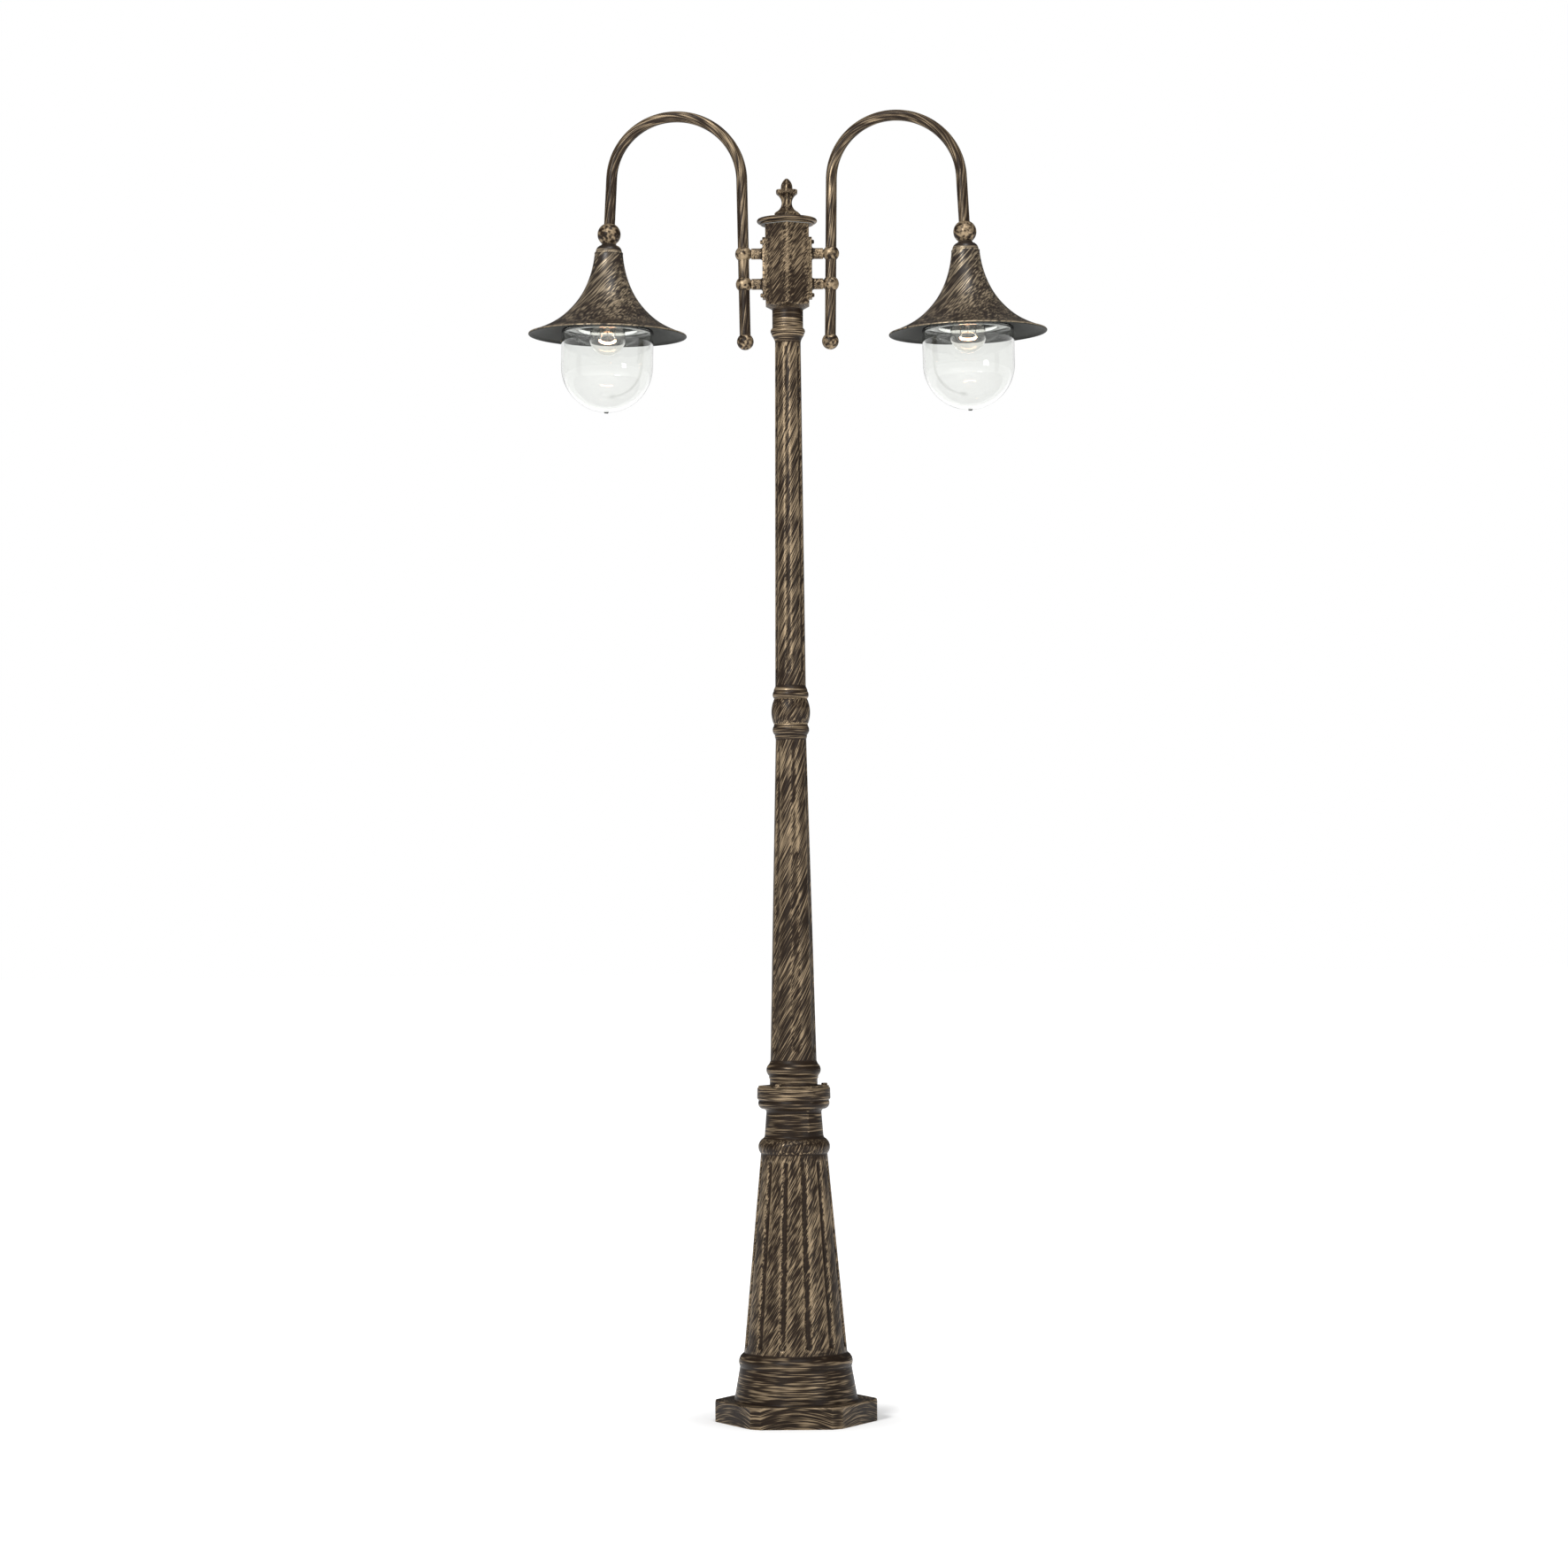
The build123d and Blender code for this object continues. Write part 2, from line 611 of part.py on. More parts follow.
def bulb_glass():
    """Thin clear envelope, open at the neck where the cap closes it."""
    wall = 1.0
    turn = 38
    outlines = []
    for inset in (0, wall):
        radius = BULB_R - inset
        start = (radius * cos(radians(turn)), BULB_MIDDLE + radius * sin(radians(turn)))
        slant = (sin(radians(turn)), -cos(radians(turn)))
        outlines.append(Spline((12.9 - inset, BULB_NECK), start, tangents=[(0, -1), slant]))
        outlines.append(round_bottom(radius, BULB_MIDDLE, turn))
    rim = Line((12.9 - wall, BULB_NECK), (12.9, BULB_NECK))
    middle = Line((0, BULB_MIDDLE - BULB_R), (0, BULB_MIDDLE - BULB_R + wall))
    return turned(Plane.XZ * make_face(Curve() + [*outlines, rim, middle]))


def bulb_cap():
    """Screw shell with its insulator and tip, threads as a plain diameter."""
    return moulding(
        (0, BULB_NECK),
        (13.0, BULB_NECK),
        (BULB_CAP_R, BULB_NECK + 1),
        (BULB_CAP_R, BULB_CAP_TOP - 3),
        (9.0, BULB_CAP_TOP),
        (4.5, BULB_TIP - 1),
        (3.0, BULB_TIP),
        (0, BULB_TIP),
    )


def bulb_mount():
    """Stem, lead wires and the filament's bow."""
    stem = moulding((0, 1786), (2.6, 1786), (3.2, 1806), (7.5, BULB_NECK), (0, BULB_NECK))
    bow = FilletPolyline((-13, 0, 1776), (-13, 0, 1788), (-2, 0, 1799), radius=5)
    lead = tube_along(bow, 0.6)
    filament = tube_along(ThreePointArc((-13, 0, 1776), (0, -6, 1772), (13, 0, 1776)), 0.9)
    return stem + lead + Rot(0, 0, 180) * lead + filament


def lamp_wire():
    """Flexible lead from the terminal block, through the upper socket and the arm, to the holder."""
    level = SOCKET_LEVELS[0] - 2.2
    corners = [
        (TERMINAL_X, 0, TERMINAL_TOP),
        (TERMINAL_X, 0, level),
        (inner_leg_x(level) + 3.0, 0, level),
        (inner_leg_x(ARM_CROWN_Z), 0, ARM_CROWN_Z),
        (ARM_OUTER_X, 0, ARM_CROWN_Z),
        (KNUCKLE_X, 0, KNUCKLE_Z),
        (KNUCKLE_X + 80 * tan(radians(LANTERN_LEAN)), 0, KNUCKLE_Z - 80),
    ]
    path = FilletPolyline(*corners, radius=[9.0, 9.0, 105.5, 105.5, 60.0])
    return tube_along(path, WIRE_R)


# ---------------------------------------------------------------- assembly
def leaning(piece):
    """Moves a plumb lantern piece to the right arm and leans it outward about the knuckle."""
    joint = Pos(KNUCKLE_X, 0, KNUCKLE_Z) * Rot(0, -LANTERN_LEAN, 0) * Pos(0, 0, -KNUCKLE_Z)
    return joint * piece


def other_side(piece):
    return Rot(0, 0, 180) * piece


def solids(piece):
    """The solids of a piece or of a list of pieces."""
    if isinstance(piece, (list, ShapeList)):
        found = []
        for one in piece:
            found += solids(one)
        return found
    return list(piece.solids())


def save(name, piece):
    found = solids(piece)
    shape = found[0] if len(found) == 1 else Compound(children=found)
    shape.label = name
    export_step(shape, f"parts/{name}.step")


def main():
    os.makedirs("parts", exist_ok=True)
    post = (
        pedestal,
        flange_bolts,
        column_lower,
        coupling,
        joint_sleeve,
        column_upper,
        head_box,
        cap_gasket,
        head_cap,
        cap_screws,
        finial,
        finial_stud,
        terminal_block,
        riser_cable,
        inlet_connector,
    )
    for make in post:
        save(make.__name__, make())

    on_arm = {
        "arm": arm(),
        "bracket_plate": bracket_plate(),
        "clamp_upper": clamp(SOCKET_LEVELS[0]),
        "clamp_lower": clamp(SOCKET_LEVELS[1]),
        "end_ball": end_ball(),
        "lamp_wire": lamp_wire(),
    }
    on_lantern = (
        knuckle,
        nipple,
        shade_cap,
        shade,
        gallery,
        lampholder,
        contact,
        gasket,
        globe,
        bulb_glass,
        bulb_cap,
        bulb_mount,
    )
    for make in on_lantern:
        on_arm[make.__name__] = leaning(make())
    for name, piece in on_arm.items():
        save(f"{name}_right", piece)
        save(f"{name}_left", other_side(piece))

    for name, pieces in (
        ("bracket_screws", bracket_screws()),
        ("set_screws", set_screws()),
        ("locknuts", [leaning(nut) for nut in locknuts()]),
    ):
        save(name, pieces + [other_side(piece) for piece in pieces])


main()
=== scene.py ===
"""The looks of a twin-arm garden lamp post: bronzed castings, tubes and shades, clear globes and bulbs,
on a pale floor in soft light. Shapes are worked in millimetres and finished in metres."""

from math import asin, atan2, ceil, copysign, cos, hypot, pi, radians, sin, sqrt, tan

import bmesh
import bpy
from mathutils import Matrix, Vector


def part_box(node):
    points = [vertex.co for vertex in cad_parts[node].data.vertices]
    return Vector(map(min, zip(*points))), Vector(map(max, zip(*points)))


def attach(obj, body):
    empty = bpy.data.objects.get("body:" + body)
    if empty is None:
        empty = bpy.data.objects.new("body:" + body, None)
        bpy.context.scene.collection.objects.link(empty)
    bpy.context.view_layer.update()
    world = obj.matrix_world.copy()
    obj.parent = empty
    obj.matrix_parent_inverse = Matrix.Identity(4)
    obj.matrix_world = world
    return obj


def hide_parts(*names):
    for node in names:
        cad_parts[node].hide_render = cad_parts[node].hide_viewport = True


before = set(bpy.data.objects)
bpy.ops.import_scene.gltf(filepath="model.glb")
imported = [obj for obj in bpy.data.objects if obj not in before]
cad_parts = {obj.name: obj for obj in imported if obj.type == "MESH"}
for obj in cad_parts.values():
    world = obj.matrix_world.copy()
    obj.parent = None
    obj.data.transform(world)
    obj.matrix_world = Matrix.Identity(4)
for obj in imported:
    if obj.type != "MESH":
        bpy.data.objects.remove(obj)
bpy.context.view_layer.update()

MM = 0.001
SIDES = {"right": 0.0, "left": pi}  # the left half is the right half turned half a turn


def corners(node):
    """A CAD node's lowest and highest corners, in millimetres."""
    return [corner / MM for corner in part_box(node)]


def middle(node):
    low, high = corners(node)
    return (low + high) / 2


# ---- levels and places that the pieces hang from ----
FOOT_TOP = 35.0
COLLAR_TOP = corners("column_lower")[0].z
FLANGE_TOP = COLLAR_TOP + 2.7
COUPLING_FOOT = corners("coupling")[0].z
COUPLING_TOP = corners("coupling")[1].z
CAPITAL_TOP = corners("head_box")[0].z
BOX_TOP = corners("head_box")[1].z
BOX_FLAT = corners("head_box")[1].x
CAP_FOOT = corners("head_cap")[0].z
CAP_TOP = corners("head_cap")[1].z
FINIAL_TOP = corners("finial")[1].z
PLATE_LOW, PLATE_HIGH = corners("bracket_plate_right")
KNUCKLE = middle("knuckle_right")
KNUCKLE_R = 19.0
LANTERN_LEAN = radians(1.25)
ARM_R = 9.0
ARM_BORE_R = 7.0
ARM_BEND_R = 106.3
ARM_CROWN = corners("arm_right")[1].z - ARM_R
ARM_FOOT = Vector((69.8, 0, corners("arm_right")[0].z))
INNER_LEAN = radians(0.82)
OUTER_X = 282.13
SOCKET_LEVELS = [middle(f"clamp_{row}_right").z for row in ("upper", "lower")]


# ------------------------------------------------------------------ outlines
def arc(start, through, end, step):
    """Points on the circle through three points, from after the first to the last."""
    (ax, ay), (bx, by), (cx, cy) = start, through, end
    scale = 2 * (ax * (by - cy) + bx * (cy - ay) + cx * (ay - by))
    squares = ax * ax + ay * ay, bx * bx + by * by, cx * cx + cy * cy
    x = (squares[0] * (by - cy) + squares[1] * (cy - ay) + squares[2] * (ay - by)) / scale
    y = (squares[0] * (cx - bx) + squares[1] * (ax - cx) + squares[2] * (bx - ax)) / scale
    radius = hypot(ax - x, ay - y)
    first, mid, last = (atan2(py - y, px - x) for px, py in (start, through, end))
    turn = (last - first) % (2 * pi)
    if (mid - first) % (2 * pi) > turn:
        turn -= 2 * pi
    count = max(6, ceil(abs(turn) * radius / step))
    angles = [first + turn * i / count for i in range(1, count + 1)]
    return [(x + radius * cos(a), y + radius * sin(a)) for a in angles]


def straight(start, end, step):
    count = max(1, ceil(hypot(end[0] - start[0], end[1] - start[1]) / step))
    return [
        (start[0] + (end[0] - start[0]) * i / count, start[1] + (end[1] - start[1]) * i / count)
        for i in range(1, count + 1)
    ]


def eased(points, soft):
    """The same chain with its sharp corners rounded off a little, as they are on anything cast."""
    chain = [points[0]]
    for before, here, after in zip(points, points[1:], points[2:]):
        way_in, way_out = Vector(here) - Vector(before), Vector(after) - Vector(here)
        if way_in.length < 1e-6 or way_out.length < 1e-6:
            continue
        if way_in.angle(way_out) < radians(17):
            chain.append(here)
            continue
        near = Vector(here) - way_in.normalized() * min(soft, 0.4 * way_in.length)
        far = Vector(here) + way_out.normalized() * min(soft, 0.4 * way_out.length)
        crest = (near + 2 * Vector(here) + far) / 4
        chain += [tuple(near), tuple(crest), tuple(far)]
    return chain + [points[-1]]


def outline(*stops, step=2.2, soft=0.8):
    """Points along the side of a turned piece, as (radius, height). After the first, a stop is a point
    to go straight to, or a pair: an arc through its first point to its second."""
    points = [stops[0]]
    for stop in stops[1:]:
        if isinstance(stop[0], tuple):
            points += arc(points[-1], *stop, step)
        else:
            points += straight(points[-1], stop, step)
    return eased(points, soft)


# ------------------------------------------------------------------ shaping
def spun(points, columns=48, closed=False):
    """A piece turned about Z. A closed chain gives a hollow piece."""
    bm = bmesh.new()
    stops = [bm.verts.new((r, 0, z)) for r, z in points]
    ends = stops[1:] + stops[:1] if closed else stops[1:]
    edges = [bm.edges.new(pair) for pair in zip(stops, ends)]
    bmesh.ops.spin(
        bm,
        geom=stops + edges,
        cent=(0, 0, 0),
        axis=(0, 0, 1),
        angle=2 * pi,
        steps=columns,
        use_merge=True,
    )
    bmesh.ops.remove_doubles(bm, verts=bm.verts, dist=0.0005)
    bmesh.ops.recalc_face_normals(bm, faces=bm.faces)
    return bm


def polar(point):
    return hypot(point.x, point.y), atan2(point.y, point.x)


def put(vertex, r, angle, z):
    vertex.co = (r * cos(angle), r * sin(angle), z)


def slide_columns(bm, columns, count, first, places):
    """Slides the columns of a turned grid round, so that they lie along edges. The turn has `count`
    equal sectors from `first` on, and places(r, z) lists the columns' angles in one."""
    each = columns // count
    for v in bm.verts:
        r, angle = polar(v.co)
        column = round(angle * columns / (2 * pi)) % columns
        if r > 0.01:
            sector = 2 * pi / count * (column // each)
            put(v, r, first + sector + places(r, v.co.z)[column % each], v.co.z)


def hexagon_r(angle, flat, first_flat=0.0):
    """How far a hexagon's side is from its middle, in a direction. `flat` is half its width."""
    off = (angle - first_flat + pi / 6) % (pi / 3) - pi / 6
    return flat / cos(off)


def blend(share, low, high):
    return low + (high - low) * min(1.0, max(0.0, share))


class Flutes:
    """Round-ended grooves up a taper. foot and head each hold a level, the taper's radius there, half
    the groove's width and its depth."""

    COLUMNS = 12
    LIP = 1.3  # the land's strip beside each groove that takes the gold

    def __init__(self, count, first, foot, head):
        self.sector = 2 * pi / count
        self.first, self.foot, self.head = first, foot, head

    def at(self, z):
        """Radius, half width and depth at a level."""
        share = (z - self.foot[0]) / (self.head[0] - self.foot[0])
        radius = self.foot[1] + (self.head[1] - self.foot[1]) * share
        return radius, blend(share, self.foot[2], self.head[2]), blend(share, self.foot[3], self.head[3])

    def places(self, r, z):
        """Columns from the middle of one land, over the groove, to the middle of the next."""
        half = self.at(z)[1] / r
        edge = self.sector / 2 - half
        lip = edge - self.LIP / r
        rise = [0, lip / 2, lip, edge, edge + 0.35 * half, edge + 0.7 * half, self.sector / 2]
        return rise + [self.sector - angle for angle in reversed(rise[1:-1])]

    def carve(self, bm):
        for v in bm.verts:
            z = v.co.z
            if not self.foot[0] < z < self.head[0]:
                continue
            r, angle = polar(v.co)
            radius, half, deep = self.at(z)
            if abs(r - radius) > 0.6:
                continue
            end = min(z - self.foot[0], self.head[0] - z, half)
            reach = sqrt(half * half - (half - end) ** 2)
            off = r * ((angle - self.first + self.sector / 2) % self.sector - self.sector / 2)
            if abs(off) < reach:
                put(v, r - deep * (1 - (off / reach) ** 2) * reach / half, angle, z)


# ------------------------------------------------------------------ what the brush follows
STROKE = 24.0  # a brush mark's length over its width


def steep(twist):
    """Marks that climb to the right, by `twist` radians round the axis for each millimetre up."""

    def way(p):
        back = Matrix.Rotation(-twist * p.z, 3, "Z") @ p
        return Vector((back.x, back.y, p.z / STROKE))

    return way


def level(p):
    """Marks that run round the piece."""
    return Vector((p.x / STROKE, p.y / STROKE, p.z + 0.8 * hypot(p.x, p.y)))


def slanted(hand):
    """Straight marks that climb at forty degrees or so, to the right for a hand of 1."""

    def way(p):
        x = p.x * hand
        tilt = radians(42)
        return Vector((x * cos(tilt) - p.z * sin(tilt), p.y / 4, (x * sin(tilt) + p.z * cos(tilt)) / STROKE))

    return way


def dabbed(p):
    """Short marks with no direction of their own."""
    return p * 0.3


def brushed(bm, way, shift=0.0):
    """Writes where each point lies under the brush: across, across, and along over STROKE."""
    layer = bm.verts.layers.float_vector.new("brush")
    for v in bm.verts:
        v[layer] = way(v.co) + Vector((shift, shift, shift))


def ease(value, low, high):
    share = min(1.0, max(0.0, (value - low) / (high - low)))
    return share * share * (3 - 2 * share)


def gilded(bm, ground=0.0):
    """Writes how readily a nearly dry brush leaves gold: most on ridges and outward corners, feathered
    onto the flats beside them, and least in hollows."""
    layer = bm.verts.layers.float.new("gilt")
    bm.normal_update()
    area = {face: face.calc_area() for face in bm.faces}
    ridges, hollows = {}, {}
    for edge in bm.edges:
        if len(edge.link_faces) != 2 or edge.calc_length() < 1e-5:
            continue
        bend = edge.calc_face_angle_signed(0)
        across = sum(area[face] for face in edge.link_faces) / (2 * edge.calc_length())
        if across < 1e-6:
            continue
        here = ridges if bend > 0 else hollows
        if bend > 0:
            amount = max(ease(bend, 0.3, 0.75), ease(bend / across, 0.08, 0.3))
        else:
            amount = max(ease(-bend, 0.25, 0.6), ease(-bend / across, 0.03, 0.12))
        for v in edge.verts:
            here[v] = max(here.get(v, 0.0), amount)
    for v in bm.verts:
        beside = max((ridges.get(edge.other_vert(v), 0.0) for edge in v.link_edges), default=0.0)
        ridge = max(ridges.get(v, 0.0), 0.5 * beside)
        v[layer] = ground + (1 - ground) * ridge - hollows.get(v, 0.0) * (1 - ridge)


def finished(name, bm, body, nodes, materials, sharp=38):
    """Makes a bmesh a piece in metres that rides on a body in place of its CAD nodes."""
    bm.transform(Matrix.Scale(MM, 4))
    bm.normal_update()
    for face in bm.faces:
        face.smooth = True
    for edge in bm.edges:
        edge.smooth = len(edge.link_faces) != 2 or edge.calc_face_angle(0) < radians(sharp)
    mesh = bpy.data.meshes.new(name)
    bm.to_mesh(mesh)
    bm.free()
    for material in materials:
        mesh.materials.append(material)
    piece = bpy.data.objects.new(name, mesh)
    bpy.context.scene.collection.objects.link(piece)
    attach(piece, body)
    if nodes:
        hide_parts(*nodes)
    return piece


def join(bm, *others):
    """Adds other shells to a piece. Brush and gilt layers have to be on all of them or on none."""
    for other in others:
        mesh = bpy.data.meshes.new("joining")
        other.to_mesh(mesh)
        other.free()
        bm.from_mesh(mesh)
        bpy.data.meshes.remove(mesh)
    return bm


# ------------------------------------------------------------------ materials
def colour(code):
    """An sRGB hex colour as the linear one that Blender works in."""
    parts = [int(code[i : i + 2], 16) / 255 for i in (1, 3, 5)]
    return [p / 12.92 if p <= 0.04045 else ((p + 0.055) / 1.055) ** 2.4 for p in parts] + [1.0]


def add(tree, kind, inputs=(), **settings):
    """Adds one node: its settings, and for each input a value or the socket that feeds it."""
    node = tree.nodes.new("ShaderNode" + kind)
    for name, value in settings.items():
        setattr(node, name, value)
    for socket, value in dict(inputs).items():
        if isinstance(value, bpy.types.NodeSocket):
            tree.links.new(value, node.inputs[socket])
        else:
            node.inputs[socket].default_value = value
    return node


def blank(name):
    """A new material's tree and its shader."""
    material = bpy.data.materials.new(name)
    material.use_nodes = True
    tree = material.node_tree
    return material, tree, tree.nodes["Principled BSDF"]


def plug(tree, shader, **inputs):
    """Feeds the shader's named sockets, with values or from other sockets."""
    for name, value in inputs.items():
        socket = shader.inputs[name.replace("_", " ")]
        if isinstance(value, bpy.types.NodeSocket):
            tree.links.new(value, socket)
        else:
            socket.default_value = value


PER_MM = 1000.0  # object coordinates are metres, the brush's are millimetres
HAIR, STREAK, BAND = 1.6, 3.2, 9.0  # the widths of a dry brush's marks, in millimetres
PATCH, GRIT = 60.0, 3.0  # the widths of the lacquer's own clouds and grains, in millimetres
EVEN = 0.625  # what the four noises of the paint come to on average: half the sum of their shares


def noise(tree, vector, scale, detail=2.0):
    """A cloudy share from 0 to 1, with `scale` clouds to a unit of the vector."""
    return add(tree, "TexNoise", {"Vector": vector, "Scale": scale, "Detail": detail}).outputs["Fac"]


def spread(tree, share, low, high):
    """A share from 0 to 1, drawn out to run from low to high."""
    return add(tree, "MapRange", {"Value": share, "To Min": low, "To Max": high}).outputs[0]


def mixed_colour(tree, share, one, other):
    return add(tree, "Mix", {0: share, 6: one, 7: other}, data_type="RGBA").outputs[2]


def bumps(tree, height, strength, deep, **under):
    """A normal for bumps so many millimetres deep, on top of the normal given as Normal."""
    inputs = {"Height": height, "Strength": strength, "Distance": deep * MM, **under}
    return add(tree, "Bump", inputs).outputs[0]


def bronzed(name, ground, warm, gold, cover, rough, shine=0.12):
    """Bronzed lacquer: a dark sprayed coat with gold dragged over it by a nearly dry brush. The eye sees
    a dark brown satin surface with gold hairlines along the strokes, and more gold on every ridge.
    A bristle's mark is about 0.5 mm wide and is drawn three times as wide, so that it shows."""
    material, tree, shader = blank(name)
    brush = add(tree, "Attribute", attribute_name="brush").outputs["Vector"]
    gilt = add(tree, "Attribute", attribute_name="gilt").outputs["Fac"]
    place = add(tree, "TexCoord").outputs["Object"]
    hairs, streaks, bands = (noise(tree, brush, 1 / width, 1.0) for width in (HAIR, STREAK, BAND))
    patches, grit = noise(tree, place, PER_MM / PATCH), noise(tree, place, PER_MM / GRIT)
    mixed = cover - EVEN
    for source, share in ((hairs, 0.6), (streaks, 0.28), (bands, 0.12), (patches, 0.25), (gilt, 0.115)):
        mixed = add(tree, "Math", {0: source, 1: share, 2: mixed}, operation="MULTIPLY_ADD").outputs[0]
    mark = add(
        tree,
        "MapRange",
        {"Value": mixed, "From Min": -0.02, "From Max": 0.22, "To Max": 0.95},
        interpolation_type="SMOOTHSTEP",
    ).outputs[0]
    base = mixed_colour(tree, streaks, colour(ground), colour(warm))
    face = mixed_colour(tree, mark, base, colour(gold))
    metal = add(tree, "Math", {0: mark, 1: 0.6}, operation="MULTIPLY").outputs[0]
    sheen = spread(tree, grit, rough - 0.07, rough + 0.1)
    rubbed = bumps(tree, hairs, 0.5, 0.5)
    cast = bumps(tree, grit, 0.3, 0.5, Normal=rubbed)
    plug(tree, shader, Base_Color=face, Metallic=metal, Roughness=sheen, Normal=cast)
    plug(tree, shader, Specular_IOR_Level=shine)
    return material


def clear_glass(name, tint, wobble):
    """Blown soda-lime glass, clear and thin. The eye sees faint grey edges where the wall turns away, and
    highlights that waver a little where the wall isn't quite even."""
    material, tree, shader = blank(name)
    place = add(tree, "TexCoord").outputs["Object"]
    swell = noise(tree, place, PER_MM / 45, 1.0)
    plug(tree, shader, Base_Color=colour(tint), Roughness=0.0, IOR=1.5, Transmission_Weight=1.0)
    plug(tree, shader, Normal=bumps(tree, swell, 0.5, wobble))
    return material


def plain(name, tone, other, rough, metallic=0.0, grain=2.0, relief=0.05, coat=0.0, shine=0.5):
    """A material whose colour and gloss drift a little from place to place, over `grain` millimetres."""
    material, tree, shader = blank(name)
    place = add(tree, "TexCoord").outputs["Object"]
    cloud = noise(tree, place, PER_MM / (grain * 8), 3.0)
    fine = noise(tree, place, PER_MM / grain)
    face = mixed_colour(tree, cloud, colour(tone), colour(other))
    sheen = spread(tree, fine, rough - 0.05, rough + 0.08)
    plug(tree, shader, Base_Color=face, Metallic=metallic, Roughness=sheen, Coat_Weight=coat)
    plug(tree, shader, Specular_IOR_Level=shine, Normal=bumps(tree, fine, 0.4, relief))
    return material


def glowing(name, tone, strength):
    """A tungsten wire at white heat: it gives its own warm light."""
    material, tree, shader = blank(name)
    heat = noise(tree, add(tree, "TexCoord").outputs["Object"], PER_MM / 3.0)
    power = spread(tree, heat, 0.6 * strength, 1.4 * strength)
    plug(tree, shader, Base_Color=colour(tone), Emission_Color=colour(tone), Emission_Strength=power)
    return material


CASTING = bronzed("bronzed_lacquer_on_cast_aluminium", "#140e09", "#2c2118", "#97846a", 0.0, 0.4)
TUBING = bronzed("bronzed_lacquer_on_steel_tube", "#150f0a", "#2d2219", "#95836a", -0.01, 0.4)
SHEET = bronzed("bronzed_lacquer_on_spun_sheet", "#1a1512", "#302822", "#a19179", 0.015, 0.36, shine=0.25)
# Grey-green paint inside the shades, darkened further as painted shade for the shade that falls inside them:
# flat and even, with a little drift where the coat is thin.
INSIDE_PAINT_WITH_PAINTED_SHADE = plain(
    "dark_inside_paint_with_painted_shade", "#191a17", "#272824", 0.55, grain=3.0, relief=0.1, shine=0.15
)
GLOBE_GLASS = clear_glass("blown_soda_lime_globe", "#f6f7f5", 0.35)
BULB_GLASS = clear_glass("blown_bulb_envelope", "#fbfaf7", 0.1)
# Spun aluminium, left bare: pale grey metal with a soft haze.
ALUMINIUM = plain("spun_bare_aluminium", "#b9bbbd", "#a3a5a8", 0.34, metallic=1.0, grain=1.5)
# Zinc-plated steel: bluish grey metal, a little mottled.
ZINC = plain("zinc_plated_steel", "#a6a8a6", "#8e908f", 0.38, metallic=1.0, grain=1.2)
# Moulded silicone rubber: matt pale grey.
RUBBER = plain("moulded_silicone_rubber", "#8f8c86", "#a09d96", 0.7, grain=1.0)
# Extruded PVC: satin grey.
PVC = plain("extruded_grey_pvc", "#4b4b4b", "#585858", 0.55, grain=1.0)
# Moulded nylon: satin off-white.
NYLON = plain("moulded_nylon", "#cfc8b8", "#ddd7c8", 0.5, grain=1.0)
# Glazed porcelain: white under a wet-looking glaze.
PORCELAIN = plain("glazed_porcelain", "#e4e0d6", "#f0ede5", 0.25, grain=4.0, relief=0.02, coat=0.6)
# Nickelled brass: warm pale metal with bright ridges.
NICKEL = plain("nickelled_brass_screw_cap", "#c9bda4", "#b3a68c", 0.3, metallic=1.0, grain=0.8)
FILAMENT = glowing("glowing_tungsten_wire", "#ffc39a", 26.0)


# ------------------------------------------------------------------ the post
def casting(name, bm, nodes, sharp=38):
    """A bronzed casting fixed to the post, shown in the place of these CAD nodes."""
    finished(name, bm, "post", nodes, [CASTING], sharp)


def hollow(outer, inner, columns):
    """A turned piece with a bore: the outer side from the foot up, the inner side from the top down."""
    return spun(outer + inner, columns, closed=True)


PLATE_R = 137.0
PLATE_CORNER_CUT = 10.6
SKIRT_R = 100.7
PLATE_FLAT = PLATE_R * cos(pi / 6)
PLATE_FACET = PLATE_R - PLATE_CORNER_CUT / 2
PLATE_FACET_HALF = atan2(PLATE_CORNER_CUT * sin(pi / 3), PLATE_FACET)


def plate_edge(angle):
    """The foot plate's outline: a hexagon with a vertex on +X and each corner cut square."""
    off = (angle + pi / 6) % (pi / 3) - pi / 6
    return min(hexagon_r(angle, PLATE_FLAT, pi / 6), PLATE_FACET / cos(off))


def plate_places():
    """Columns of one side of the foot plate, close beside its corner edges."""
    near = [0, PLATE_FACET_HALF * 0.65, PLATE_FACET_HALF, PLATE_FACET_HALF * 1.35]
    last = pi / 3 - near[-1]
    between = [near[-1] + (last - near[-1]) * i / 18 for i in range(1, 18)]
    return near + between + [pi / 3 - angle for angle in reversed(near[1:])]


